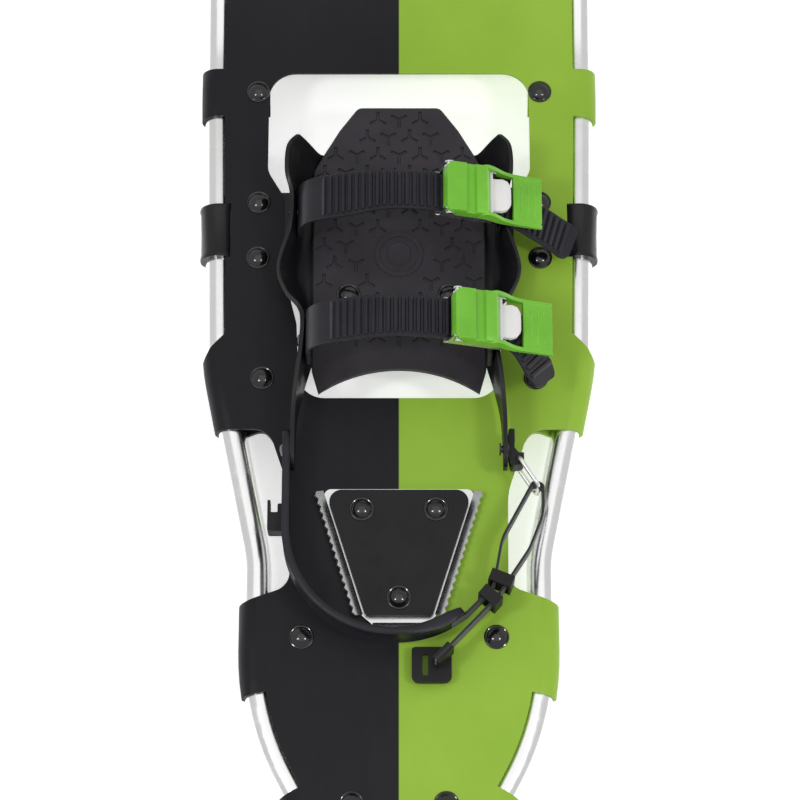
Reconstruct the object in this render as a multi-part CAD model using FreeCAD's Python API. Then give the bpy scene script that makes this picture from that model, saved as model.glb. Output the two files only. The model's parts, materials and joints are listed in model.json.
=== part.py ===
import FreeCAD, Part
import math
import os
from FreeCAD import Vector as V

os.makedirs("parts", exist_ok=True)

# ---------------------------------------------------------------- driving dimensions, mm
# +X right, +Y toe, +Z up, origin on the ground under mid-length, right-foot snowshoe
LENGTH = 762.0
TUBE_R = 8.0
TUBE_WALL = 1.4
TUBE_Z = 32.0
RAIL_X = 107.5
RAIL_END_Y = 184.9
WAIST_X = 79.4
NOSE_RISE_R = 180.0
NOSE_RISE_DEG = 20.0
NOSE_SIDE_R = 160.0
NOSE_SIDE_DEG = 35.0
TAIL_X = 8.6
TAIL_END_Y = -373.0

SNUG = 0.1
DECK_T = 1.8
DECK_LOW = TUBE_Z + TUBE_R + SNUG
DECK_TOP = DECK_LOW + DECK_T
DECK_LAP = 4.0
DECK_TAIL_Y = -312.0

PIVOT_Y = 76.5
BAND_T = 4.4
BAND_TOP = DECK_LOW - SNUG
BAND_LOW = BAND_TOP - BAND_T
BAND_HALF = 25.0
BAND_SLEEVE_HALF = 16.5
BAND_SLEEVE_T = 2.4
BAND_GAP_X = 62.0

STEEL_T = 2.5
FLANGE_T = BAND_TOP + 2.3
PLATE_LOW = FLANGE_T
PLATE_T = 4.5
PLATE_TOP = PLATE_LOW + PLATE_T
WING_T = 3.0
WING_X = 61.5
WING_INSTEP_X = 55.5
WING_ARM_X = 61.0

TOE_Y = 78.0
TOE_RIVET_Z = 62.0
TOE_APEX = 95.0
INSTEP_Y = -2.5
INSTEP_RIVET_Z = 66.0
INSTEP_APEX = 104.5
STRAP_W = 24.0
STRAP_T = 2.4
RIB_H = 1.4
RIB_PITCH = 4.0
SLOPE = 20.0

ARM_Y = -65.0
ARM_Z = 60.0
HEEL_STRAP_T = 3.0
HEEL_LOW = 49.5
HEEL_HIGH = 69.5
WEB_T = 1.4
WEB_LOW = 52.5
WEB_HIGH = 64.5

UP = V(0, 0, 1)


# ---------------------------------------------------------------- helpers
class Run:
    """One straight or one arc of a path, with a frame: along, up and across = along x up.

    A plain arc turns about the up direction, to the left when turn is positive.
    A rise arc turns in the plane of along and up, towards up when turn is positive.
    """

    def __init__(self, origin, along, up, length=0.0, radius=0.0, turn=0.0, rise=False):
        self.origin = origin
        self.along = along
        self.up = up
        self.radius = radius
        self.turn = turn
        self.length = length if not radius else radius * math.radians(abs(turn))
        across = along.cross(up)
        side = 1.0 if turn > 0 else -1.0
        if rise:
            self.hub = origin + up * (radius * side)
            self.axis = across
        else:
            self.hub = origin - across * (radius * side)
            self.axis = up

    def frame(self, s):
        if not self.radius:
            return self.origin + self.along * s, self.along, self.up
        rot = FreeCAD.Rotation(self.axis, self.turn * s / self.length)
        point = self.hub + rot.multVec(self.origin - self.hub)
        return point, rot.multVec(self.along), rot.multVec(self.up)

    def at(self, s, across=0.0, height=0.0):
        point, along, up = self.frame(s)
        return point + along.cross(up) * across + up * height

    def sweep(self, face, s0, s1):
        point, along, up = self.frame(s0)
        placed = face.copy()
        turn = FreeCAD.Rotation(along.cross(up), up, -along, "XYZ")
        placed.Placement = FreeCAD.Placement(point, turn)
        if not self.radius:
            return placed.extrude(along * (s1 - s0))
        angle = self.turn * (s1 - s0) / self.length
        return placed.revolve(self.hub, self.axis, angle)

    def edge(self, s0, s1, across):
        ends = [self.at(s0, across), self.at((s0 + s1) / 2, across), self.at(s1, across)]
        if not self.radius:
            return Part.LineSegment(ends[0], ends[2]).toShape()
        return Part.Arc(*ends).toShape()


def spans(path, s0, s1):
    """The runs of a path between two distances along it, each with its own start and end."""
    found, start = [], 0.0
    for run in path:
        low = max(s0 - start, 0.0)
        high = min(s1 - start, run.length)
        if high - low > 0.01:
            found.append((run, low, high))
        start += run.length
    return found


def frame_at(path, s):
    """The point, along and up at a distance along a path."""
    for run in path:
        if s <= run.length:
            return run.frame(s)
        s -= run.length
    return path[-1].frame(path[-1].length)


def distance_to_y(path, y):
    """The distance along a path at which it first reaches y, for a path that runs towards +Y."""
    low = 0.0
    high = sum(run.length for run in path)
    for _ in range(60):
        mid = (low + high) / 2
        if frame_at(path, mid)[0].y < y:
            low = mid
        else:
            high = mid
    return low


def fuse(shapes):
    shapes = list(shapes)
    if len(shapes) == 1:
        return shapes[0]
    return shapes[0].multiFuse(shapes[1:])


def sweep(face, path, s0, s1):
    return fuse(run.sweep(face, low, high) for run, low, high in spans(path, s0, s1))


def ring_face(outer, inner):
    """A flat ring about the path, for a tube or a sleeve."""
    disc = Part.Face(Part.Wire(Part.makeCircle(outer)))
    return disc.cut(Part.Face(Part.Wire(Part.makeCircle(inner)))).Faces[0]


def flat_path(corners, z):
    """Straights joined by arcs through flat corners (x, y, radius) at one height."""
    runs = []
    start = V(corners[0][0], corners[0][1], z)
    for i in range(1, len(corners)):
        corner = V(corners[i][0], corners[i][1], z)
        along = (corner - start).normalize()
        if i == len(corners) - 1:
            runs.append(Run(start, along, UP, (corner - start).Length))
            break
        after = (V(corners[i + 1][0], corners[i + 1][1], z) - corner).normalize()
        turn = math.atan2(along.x * after.y - along.y * after.x, along.dot(after))
        back = corners[i][2] * math.tan(abs(turn) / 2)
        runs.append(Run(start, along, UP, (corner - start).Length - back))
        at = corner - along * back
        runs.append(Run(at, along, UP, 0.0, corners[i][2], math.degrees(turn)))
        start = corner + after * back
    return runs


def rounded(points):
    """A closed wire in the XY plane through corners (x, y, radius)."""
    edges, joins = [], []
    count = len(points)
    for i in range(count):
        p = V(points[i][0], points[i][1], 0)
        a = V(points[i - 1][0], points[i - 1][1], 0)
        b = V(points[(i + 1) % count][0], points[(i + 1) % count][1], 0)
        r = points[i][2] if len(points[i]) > 2 else 0.0
        if r <= 0:
            joins.append((p, p, None))
            continue
        to_a = (a - p).normalize()
        to_b = (b - p).normalize()
        half = to_a.getAngle(to_b) / 2
        back = r / math.tan(half)
        middle = (to_a + to_b).normalize()
        hub = p + middle * (r / math.sin(half))
        joins.append((p + to_a * back, p + to_b * back, hub - middle * r))
    for i in range(count):
        first, last, mid = joins[i]
        if mid is not None:
            edges.append(Part.Arc(first, mid, last).toShape())
        following = joins[(i + 1) % count][0]
        if (following - last).Length > 1e-4:
            edges.append(Part.LineSegment(last, following).toShape())
    return Part.Wire(edges)


def slab(points, z0, z1):
    """A flat plate between two heights with a rounded outline."""
    face = Part.Face(rounded(points))
    face.translate(V(0, 0, z0))
    return face.extrude(V(0, 0, z1 - z0))


def side_slab(points, x0, x1):
    """A plate between two X planes with a rounded outline given in Y and Z."""
    shape = slab(points, x0, x1)
    shape.rotate(V(0, 0, 0), V(1, 1, 1), 120)
    return shape


def front_slab(points, y0, y1):
    """A plate between two Y planes with a rounded outline given in X and Z."""
    shape = slab(points, -y1, -y0)
    shape.rotate(V(0, 0, 0), V(1, 0, 0), 90)
    return shape


def box(x0, x1, y0, y1, z0, z1):
    return Part.makeBox(x1 - x0, y1 - y0, z1 - z0, V(x0, y0, z0))


def post(x, y, z0, z1, r):
    return Part.makeCylinder(r, z1 - z0, V(x, y, z0))


def mirrored(shape):
    return shape.mirror(V(0, 0, 0), V(1, 0, 0))


def pair(shape):
    return [shape, mirrored(shape)]


def symmetric(half):
    """Both halves of an outline from the corners of its right half, listed front to back."""
    left = [(-p[0],) + tuple(p[1:]) for p in reversed(half)]
    return list(half) + left


def rivet(point, up, grip, head_r=7.0, head_h=3.2, shank_r=2.4, foot_r=5.0, foot_h=1.4):
    """A domed rivet: its head sits on the point, its shank goes down through the grip."""
    ball = (head_r**2 + head_h**2) / (2 * head_h)
    dome = Part.makeSphere(ball, V(0, 0, head_h - ball))
    dome = dome.common(Part.makeCylinder(head_r, head_h))
    shank = Part.makeCylinder(shank_r, grip + 0.2, V(0, 0, -grip - 0.1))
    foot = Part.makeCylinder(foot_r, foot_h, V(0, 0, -grip - foot_h))
    shape = fuse([dome, shank, foot])
    shape.Placement = FreeCAD.Placement(point, FreeCAD.Rotation(V(0, 0, 1), up))
    return shape


def hole(point, up, grip, r=2.45):
    return Part.makeCylinder(r, grip + 2.0, point - up * (grip + 1.0), up)


def tooth_row(length, top, depth, count, notch):
    """A flat toothed blade outline in (u, w): straight at the top, teeth down to the depth."""
    step = length / count
    points = [(0.0, top)]
    for i in range(count):
        points += [
            (step * (i + 0.02), depth + notch),
            (step * (i + 0.42), depth),
            (step * (i + 0.58), depth),
        ]
    points += [(step * (count - 0.02), depth + notch), (length, top)]
    return points


def save(name, shape):
    if isinstance(shape, (list, tuple)):
        shape = Part.makeCompound(list(shape))
    shape.exportStep("parts/" + name + ".step")
    print(name, len(shape.Solids), round(shape.Volume), shape.isValid())


# ---------------------------------------------------------------- frame tube path, right half
side = flat_path(
    [
        (TAIL_X, TAIL_END_Y, 0),
        (TAIL_X, -345.0, 60.0),
        (WAIST_X, -212.0, 150.0),
        (WAIST_X, -121.7, 90.0),
        (103.2, -6.7, 120.0),
        (RAIL_X, 165.0, 400.0),
        (RAIL_X, RAIL_END_Y, 0),
    ],
    TUBE_Z,
)
rail_end = V(RAIL_X, RAIL_END_Y, TUBE_Z)
rise = Run(rail_end, V(0, 1, 0), UP, 0.0, NOSE_RISE_R, NOSE_RISE_DEG, True)
point, along, up = rise.frame(rise.length)
nose_side = Run(point, along, up, 0.0, NOSE_SIDE_R, NOSE_SIDE_DEG)
point, along, up = nose_side.frame(nose_side.length)
nose_r = point.x / math.cos(math.radians(NOSE_SIDE_DEG))
nose_front = Run(point, along, up, 0.0, nose_r, 90.0 - NOSE_SIDE_DEG)
nose = [nose_side, nose_front]
flat_length = sum(run.length for run in side)
whole = side + [rise] + nose
whole_length = sum(run.length for run in whole)

half_tube = sweep(ring_face(TUBE_R, TUBE_R - TUBE_WALL), whole, 0, whole_length)
frame_tube = fuse(pair(half_tube))

tail_rivet_spots = [V(x, y, 42.5) for x in (-TAIL_X, TAIL_X) for y in (-366.0, -350.0)]
for spot in tail_rivet_spots:
    frame_tube = frame_tube.cut(post(spot.x, spot.y, TUBE_Z + 3, TUBE_Z + 12, 2.45))
save("frame_tube", frame_tube)

plug_r = TUBE_R - TUBE_WALL - 0.05
plug = Part.makeCylinder(plug_r, 14.0, V(TAIL_X, TAIL_END_Y - 0.5, TUBE_Z), V(0, 1, 0))
cap = Part.makeCylinder(TUBE_R, 7.9, V(TAIL_X, TAIL_END_Y - 8.0, TUBE_Z), V(0, 1, 0))
rear_edges = [e for e in cap.Edges if e.BoundBox.YMax < TAIL_END_Y - 7.9]
cap = cap.makeFillet(3.0, rear_edges)
plug = plug.cut(post(TAIL_X, tail_rivet_spots[0].y, TUBE_Z + 2, TUBE_Z + 12, 3.1))
save("tube_end_plugs", pair(fuse([plug, cap])))

# tail plate with its hanging hole, riveted on top of both tubes
TAIL_PLATE_LOW = TUBE_Z + TUBE_R + 0.05
tail_outline = symmetric(
    [(26.0, -316.0, 5.0), (15.0, -341.0, 10.0), (15.0, -374.0, 6.0)]
)
tail_plate = slab(tail_outline, TAIL_PLATE_LOW, 42.5)
tail_plate = tail_plate.cut(post(0, -330.0, 30, 50, 4.0))
for spot in tail_rivet_spots:
    tail_plate = tail_plate.cut(hole(spot, UP, 6))
save("tail_plate", tail_plate)
save(
    "tail_rivets",
    [rivet(s, UP, 5.0, 4.5, 2.0, 2.4, 2.9, 1.6) for s in tail_rivet_spots],
)


# ---------------------------------------------------------------- deck sheet
def wrap_face():
    """Across-section of a deck tab: over the tube, round its outside and back under the deck."""
    inner = TUBE_R + SNUG
    outer = inner + DECK_T
    angle = math.radians(140.0)
    pi_in = V(inner * math.cos(angle), -inner * math.sin(angle), 0)
    pi_out = V(outer * math.cos(angle), -outer * math.sin(angle), 0)
    lean = V(-math.cos(math.radians(50)), math.sin(math.radians(50)), 0)
    flat_low = pi_out + lean * ((inner - DECK_T - pi_out.y) / lean.y)
    flat_in = pi_in + lean * ((inner - pi_in.y) / lean.y)
    steps = [
        (V(-14, outer, 0), V(0, outer, 0), None),
        (V(0, outer, 0), pi_out, V(outer, 0, 0)),
        (pi_out, flat_low, None),
        (flat_low, V(-31, inner - DECK_T, 0), None),
        (V(-31, inner - DECK_T, 0), V(-31, inner, 0), None),
        (V(-31, inner, 0), flat_in, None),
        (flat_in, pi_in, None),
        (pi_in, V(0, inner, 0), V(inner, 0, 0)),
        (V(0, inner, 0), V(-14, inner, 0), None),
        (V(-14, inner, 0), V(-14, outer, 0), None),
    ]
    edges = []
    for first, last, mid in steps:
        if mid is None:
            edges.append(Part.LineSegment(first, last).toShape())
        else:
            edges.append(Part.Arc(first, mid, last).toShape())
    return Part.Face(Part.Wire(edges))


deck_start = distance_to_y(side, DECK_TAIL_Y)
right_edges = [
    run.edge(low, high, -DECK_LAP)
    for run, low, high in spans(side, deck_start, flat_length)
]
left_edges = [mirrored(e) for e in right_edges]
tail_x = right_edges[0].Vertexes[0].X
tail_y = right_edges[0].Vertexes[0].Y
front_x = RAIL_X - DECK_LAP
closing = [
    Part.LineSegment(V(-tail_x, tail_y, TUBE_Z), V(tail_x, tail_y, TUBE_Z)).toShape(),
    Part.LineSegment(
        V(-front_x, RAIL_END_Y, TUBE_Z), V(front_x, RAIL_END_Y, TUBE_Z)
    ).toShape(),
]
flat_edges = Part.__sortEdges__(right_edges + left_edges + closing)
flat_deck = Part.Face(Part.Wire(flat_edges))
flat_deck.translate(V(0, 0, DECK_LOW - TUBE_Z))
flat_deck = flat_deck.extrude(V(0, 0, DECK_T))

bend_start = V(0, RAIL_END_Y, TUBE_Z)
bend = Run(bend_start, V(0, 1, 0), UP, 0.0, NOSE_RISE_R, NOSE_RISE_DEG, True)
strip = Part.Face(
    Part.makePolygon(
        [
            V(-front_x, TUBE_R + SNUG, 0),
            V(front_x, TUBE_R + SNUG, 0),
            V(front_x, TUBE_R + SNUG + DECK_T, 0),
            V(-front_x, TUBE_R + SNUG + DECK_T, 0),
            V(-front_x, TUBE_R + SNUG, 0),
        ]
    )
)
bend_deck = bend.sweep(strip, 0, bend.length)

nose_edges = [run.edge(0, run.length, -DECK_LAP) for run in nose]
nose_edges += [mirrored(e) for e in nose_edges]
base_a = nose[0].at(0, -DECK_LAP)
base_b = V(-base_a.x, base_a.y, base_a.z)
nose_edges.append(Part.LineSegment(base_a, base_b).toShape())
nose_deck = Part.Face(Part.Wire(Part.__sortEdges__(nose_edges)))
nose_up = nose[0].up
nose_deck.translate(nose_up * (TUBE_R + SNUG))
nose_deck = nose_deck.extrude(nose_up * DECK_T)

# toe opening, wide ahead of the pivot and narrower under the instep
opening_half = [
    (77.0, 178.0, 16.0),
    (77.0, 114.0, 14.0),
    (67.5, 98.0, 10.0),
    (66.0, 46.0, 14.0),
    (59.0, 18.0, 12.0),
    (57.0, -27.8, 15.0),
]
opening = slab(symmetric(opening_half), 20, 60)
# waist cut-outs between the deck and the slanted rails
waist = slab(
    [
        (125.0, -46.5),
        (74.0, -46.5, 12.0),
        (61.5, -84.0, 40.0),
        (61.0, -139.0, 11.0),
        (125.0, -161.5),
    ],
    10,
    60,
)
# the middle tab's front edge slants back from the deck edge and is rounded off outside
tab_corner = slab(
    [
        (100.2, 11.8),
        (108.5, 3.5, 5.0),
        (113.2, -4.5, 4.0),
        (125.0, -8.0),
        (125.0, 30.0),
        (100.2, 30.0),
    ],
    10,
    60,
)
# room at the deck edge for the pivot band to pass down beside the tube
sleeve_run = frame_at(side, distance_to_y(side, PIVOT_Y))
sleeve_x = sleeve_run[0].x
notch_half = BAND_SLEEVE_HALF + 0.4
notch_x = sleeve_x - 7.2
notch = box(notch_x, 125, PIVOT_Y - notch_half, PIVOT_Y + notch_half, 35, 50)

deck = fuse([flat_deck, bend_deck, nose_deck])
for tool in [opening] + pair(notch):
    deck = deck.cut(tool)

wrap = wrap_face()
nose_base = flat_length + rise.length
tabs = [
    (distance_to_y(side, -58.0), distance_to_y(side, 11.8)),
    (distance_to_y(side, -200.0), distance_to_y(side, -136.0)),
    (distance_to_y(side, -292.0), distance_to_y(side, -254.0)),
    (distance_to_y(side, 150.0), distance_to_y(side, 181.0)),
    (nose_base + 30.0, nose_base + 68.0),
]
tabs = [(min(t), max(t)) for t in tabs]
right_tabs = [sweep(wrap, whole, low, high) for low, high in tabs]
front_tab = sweep(wrap, whole, whole_length - 26.0, whole_length)
deck = fuse([deck] + right_tabs + [mirrored(t) for t in right_tabs])
deck = fuse([deck, fuse(pair(front_tab))])
for tool in pair(waist) + pair(tab_corner):
    deck = deck.cut(tool)


def deck_spot(s, across):
    """A point on top of the deck above a distance along the tube, and the way up there."""
    where, ahead, above = frame_at(whole, s)
    out = ahead.cross(above)
    return where + out * across + above * (TUBE_R + SNUG + DECK_T), above


rivet_spots = [
    (V(78.3, -15.6, DECK_TOP), UP),
    (V(54.0, -168.5, DECK_TOP), UP),
    deck_spot((tabs[2][0] + tabs[2][1]) / 2, -24.0),
    deck_spot((tabs[3][0] + tabs[3][1]) / 2, -24.0),
    deck_spot((tabs[4][0] + tabs[4][1]) / 2, -24.0),
]
rivet_spots += [(V(-p.x, p.y, p.z), V(-u.x, u.y, u.z)) for p, u in rivet_spots]
rivet_spots.append(deck_spot(whole_length - 0.01, -24.0))
for p, u in rivet_spots:
    deck = deck.cut(hole(p, u, 4.0))

band_spots = [V(82.0, PIVOT_Y + 17.5, DECK_TOP), V(82.0, PIVOT_Y - 17.5, DECK_TOP)]
band_spots += [V(-p.x, p.y, p.z) for p in band_spots]
for p in band_spots:
    deck = deck.cut(hole(p, UP, 8.0))
heel_spots = [V(-20.8, -96.0, 0), V(20.8, -96.0, 0), V(0, -147.3, 0)]
for p in heel_spots:
    deck = deck.cut(post(p.x, p.y, 20, 60, 2.45))
save("deck", deck)
save("deck_rivets", [rivet(p, u, 2 * DECK_T, foot_r=3.5) for p, u in rivet_spots])

# ---------------------------------------------------------------- pivot bands
sleeve_s = distance_to_y(side, PIVOT_Y)
sleeve_ring = ring_face(TUBE_R + SNUG + BAND_SLEEVE_T, TUBE_R + SNUG)
sleeve = sweep(sleeve_ring, side, sleeve_s - BAND_SLEEVE_HALF, sleeve_s + BAND_SLEEVE_HALF)
tongue_half = [
    (BAND_GAP_X + 2.0, PIVOT_Y + BAND_HALF, 3.0),
    (89.0, PIVOT_Y + BAND_HALF, 8.0),
    (96.0, PIVOT_Y + BAND_SLEEVE_HALF, 4.0),
    (sleeve_x - 8.6, PIVOT_Y + BAND_SLEEVE_HALF),
    (sleeve_x - 8.6, PIVOT_Y - BAND_SLEEVE_HALF),
    (96.0, PIVOT_Y - BAND_SLEEVE_HALF, 4.0),
    (89.0, PIVOT_Y - BAND_HALF, 8.0),
    (BAND_GAP_X + 2.0, PIVOT_Y - BAND_HALF, 3.0),
]
tongue = slab(tongue_half, BAND_LOW, BAND_TOP)
band = fuse([sleeve, tongue])
for p in band_spots:
    band = band.cut(hole(p, UP, 8.0))
save("pivot_band_right", band)
save("pivot_band_left", mirrored(band))
band_grip = DECK_TOP - BAND_LOW
save("band_rivets", [rivet(p, UP, band_grip) for p in band_spots])

plate_spots = [V(30.0, 92.0, PLATE_TOP), V(29.0, 33.5, PLATE_TOP)]
plate_spots += [V(-p.x, p.y, p.z) for p in plate_spots]
center = slab(
    symmetric([(BAND_GAP_X, PIVOT_Y + BAND_HALF, 3.0), (BAND_GAP_X, PIVOT_Y - BAND_HALF, 3.0)]),
    BAND_LOW,
    BAND_TOP,
)
for p in plate_spots:
    center = center.cut(hole(p, UP, 20.0))
save("pivot_band_center", center)

# ---------------------------------------------------------------- heel cleat, pad and lower crampon
CLEAT_T = 1.5
CLEAT_TOP = DECK_TOP + CLEAT_T
PAD_TOP = CLEAT_TOP + 4.0
cleat_half = [(43.5, -83.0, 4.0), (20.4, -156.8, 0.0), (14.7, -161.8, 0.0)]
cleat = slab(symmetric(cleat_half), DECK_TOP, CLEAT_TOP)


def flared_blade(start, end, height, thick, lean, teeth, tooth):
    """A serrated strip rising from the deck along start to end, leaning out by an angle."""
    run = end - start
    length = run.Length
    step = length / teeth
    points = [(0.0, 0.0)]
    for i in range(teeth):
        points += [(step * (i + 0.05), height - tooth), (step * (i + 0.5), height)]
    points += [(length, height - tooth), (length, 0.0)]
    blade = slab(points, -thick, 0.0)
    ahead = run.normalize()
    out = ahead.cross(UP)
    tilt = math.radians(lean)
    rise_dir = UP * math.cos(tilt) + out * math.sin(tilt)
    turn = FreeCAD.Rotation(ahead, rise_dir, ahead.cross(rise_dir), "XYZ")
    blade.Placement = FreeCAD.Placement(start, turn)
    return blade


right_blade = flared_blade(
    V(20.6, -156.2, CLEAT_TOP - 1.2), V(43.2, -84.0, CLEAT_TOP - 1.2), 6.3, 1.4, 60.0, 16, 1.6
)
rear_blade = flared_blade(
    V(-14.6, -161.4, CLEAT_TOP - 1.2), V(14.6, -161.4, CLEAT_TOP - 1.2), 5.2, 1.4, 60.0, 7, 1.6
)
cleat = fuse([cleat, rear_blade] + pair(right_blade))
pad_half = [(41.6, -84.5, 7.0), (18.6, -157.5, 3.0)]
pad = slab(symmetric(pad_half), CLEAT_TOP, PAD_TOP)

LOWER_TOP = DECK_LOW
lower_half = [(44.0, -83.0, 4.0), (21.0, -154.0, 3.0)]
lower = slab(symmetric(lower_half), LOWER_TOP - STEEL_T, LOWER_TOP)
fang_run = V(44.0 - 21.0, -83.0 + 154.0, 0)
fang_ahead = V(fang_run.x, fang_run.y, 0).normalize()
fang_length = fang_run.Length - 6.0
fangs = slab(tooth_row(fang_length, LOWER_TOP - 0.4, 0.0, 4, 17.0), 0.0, STEEL_T)
fang_turn = FreeCAD.Rotation(fang_ahead, UP, fang_ahead.cross(UP), "XYZ")
fang_start = V(21.0, -154.0, 0) + fang_ahead * 3.0 - fang_ahead.cross(UP) * STEEL_T
fangs.Placement = FreeCAD.Placement(fang_start, fang_turn)
lower = fuse([lower] + pair(fangs))
for p in heel_spots:
    tool = post(p.x, p.y, 20, 60, 2.45)
    cleat = cleat.cut(tool)
    pad = pad.cut(tool)
    lower = lower.cut(tool)
save("heel_cleat", cleat)
save("heel_pad", pad)
save("heel_crampon", lower)
heel_grip = PAD_TOP - (LOWER_TOP - STEEL_T)
save("heel_rivets", [rivet(V(p.x, p.y, PAD_TOP), UP, heel_grip) for p in heel_spots])

# ---------------------------------------------------------------- foot plate and toe crampon
plate_half = [
    (24.0, 153.0, 5.0),
    (35.0, 138.0, 6.0),
    (50.0, 112.0, 10.0),
    (50.0, -12.0, 12.0),
    (46.0, -27.0, 4.0),
]
foot_plate = slab(symmetric(plate_half), PLATE_LOW, PLATE_TOP)
foot_plate = foot_plate.cut(post(0, -11.5 - 80.0, 20, 80, 80.0))
boss = post(0, 59.0, PLATE_TOP - 0.5, PLATE_TOP + 0.9, 14.0)
boss = boss.cut(post(0, 59.0, PLATE_TOP, PLATE_TOP + 2, 11.5))
inner_boss = post(0, 59.0, PLATE_TOP - 0.5, PLATE_TOP + 0.9, 7.0)
foot_plate = fuse([foot_plate, boss, inner_boss])

CRAMPON_TOP = BAND_LOW
crampon_half = [(22.0, 146.0, 4.0), (41.5, 120.0, 8.0), (41.5, 50.0, 6.0)]
crampon = slab(symmetric(crampon_half), CRAMPON_TOP - STEEL_T, CRAMPON_TOP)
side_teeth = slab(tooth_row(46.0, CRAMPON_TOP - 0.4, 0.0, 3, 15.0), 0.0, STEEL_T)
side_teeth.rotate(V(0, 0, 0), V(1, 1, 1), 120)
side_teeth.translate(V(39.0, 70.0, 0))
front_teeth = front_slab(
    [(p[0] - 19.0, p[1]) for p in tooth_row(38.0, CRAMPON_TOP - 0.4, 0.0, 3, 15.0)],
    143.5,
    146.0,
)
crampon = fuse([crampon, front_teeth] + pair(side_teeth))
for p in plate_spots:
    foot_plate = foot_plate.cut(hole(p, UP, 20.0))
    crampon = crampon.cut(hole(p, UP, 20.0))
save("foot_plate", foot_plate)
save("toe_crampon", crampon)
front_grip = PLATE_TOP - (CRAMPON_TOP - STEEL_T)
rear_grip = PLATE_TOP - BAND_TOP
save(
    "plate_rivets",
    [rivet(p, UP, front_grip if p.y > 60 else rear_grip) for p in plate_spots],
)

# ---------------------------------------------------------------- side wings
wing_path = flat_path(
    [
        (WING_ARM_X - WING_T, -76.0, 0),
        (WING_ARM_X - WING_T, -46.0, 30.0),
        (WING_INSTEP_X - WING_T, -24.0, 30.0),
        (WING_INSTEP_X - WING_T, 25.0, 30.0),
        (WING_X - WING_T, 58.0, 30.0),
        (WING_X - WING_T, 122.0, 0),
    ],
    0.0,
)
wall_face = Part.Face(
    Part.makePolygon(
        [V(0, 39, 0), V(WING_T, 39, 0), V(WING_T, 80, 0), V(0, 80, 0), V(0, 39, 0)]
    )
)
wing_length = sum(run.length for run in wing_path)
wall = sweep(wall_face, wing_path, 0, wing_length)
wing_side = side_slab(
    [
        (122.0, PLATE_LOW + 2, 4.0),
        (122.0, 74.0, 6.0),
        (98.0, 76.5, 6.0),
        (90.0, 72.0, 8.0),
        (64.0, 72.0, 12.0),
        (46.0, 60.0, 14.0),
        (30.0, 62.0, 14.0),
        (10.0, 77.0, 8.0),
        (-14.0, 77.0, 8.0),
        (-29.0, 69.0, 10.0),
        (-76.0, 69.0, 8.9),
        (-76.0, 51.0, 8.9),
        (-26.0, 51.0, 8.0),
        (-12.0, PLATE_LOW + 0.3, 6.0),
        (22.0, PLATE_LOW + 0.3, 0.0),
        (22.0, BAND_TOP, 0.0),
        (116.0, BAND_TOP, 0.0),
    ],
    40,
    75,
)
wing = wall.common(wing_side)
flange = slab(
    [
        (24.0, 118.0, 4.0),
        (59.5, 118.0, 0.0),
        (59.5, 60.0, 6.0),
        (54.5, 26.0, 0.0),
        (54.0, 22.0, 0.0),
        (22.0, 22.0, 4.0),
    ],
    BAND_TOP,
    FLANGE_T,
)
wing = fuse([wing, flange])
for p in plate_spots:
    wing = wing.cut(hole(p, UP, 20.0))
strap_spots = [
    V(WING_X, TOE_Y, TOE_RIVET_Z),
    V(WING_INSTEP_X, INSTEP_Y, INSTEP_RIVET_Z),
]
arm_spot = V(WING_ARM_X, ARM_Y, ARM_Z)
RIGHT = V(1, 0, 0)
for p in strap_spots + [arm_spot]:
    wing = wing.cut(hole(p, RIGHT, 10.0, 2.25))
save("wing_right", wing)
save("wing_left", mirrored(wing))
strap_grip = WING_T + 0.3 + STRAP_T + 0.3
small = dict(head_r=4.6, head_h=2.2, shank_r=2.2, foot_r=3.8, foot_h=1.2)
strap_rivets = [rivet(p, RIGHT, strap_grip, **small) for p in strap_spots]
save("strap_rivets", strap_rivets + [mirrored(r) for r in strap_rivets])
arm_outer = HEEL_STRAP_T + 0.6
arm_rivet = rivet(arm_spot + RIGHT * arm_outer, RIGHT, WING_T + arm_outer, **small)
save("arm_rivets", pair(arm_rivet))


# ---------------------------------------------------------------- ladder straps and buckles
def strap_start(wing_x, r1, apex, apex_r):
    """Inner-surface X of the strap at the wing and the height where its first bend starts."""
    xs = wing_x - WING_T - 0.3 - STRAP_T
    a = math.radians(SLOPE)
    reach = xs - r1 * (1 - math.cos(math.radians(90) - a)) - apex_r * math.sin(a)
    lead = reach / math.cos(a)
    climb = r1 * math.cos(a) + lead * math.sin(a) + apex_r * (1 - math.cos(a))
    return xs, lead, apex - climb


def chain(start, along, up, steps):
    """Runs in one upright plane: numbers are straights, pairs are (radius, turn)."""
    runs = []
    for step in steps:
        if isinstance(step, tuple):
            run = Run(start, along, up, 0.0, step[0], step[1], True)
        else:
            run = Run(start, along, up, step)
        runs.append(run)
        start, along, up = run.frame(run.length)
    return runs


def flat_section(width, low, high):
    return Part.Face(
        Part.makePolygon(
            [
                V(-width / 2, low, 0),
                V(width / 2, low, 0),
                V(width / 2, high, 0),
                V(-width / 2, high, 0),
                V(-width / 2, low, 0),
            ]
        )
    )


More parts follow.
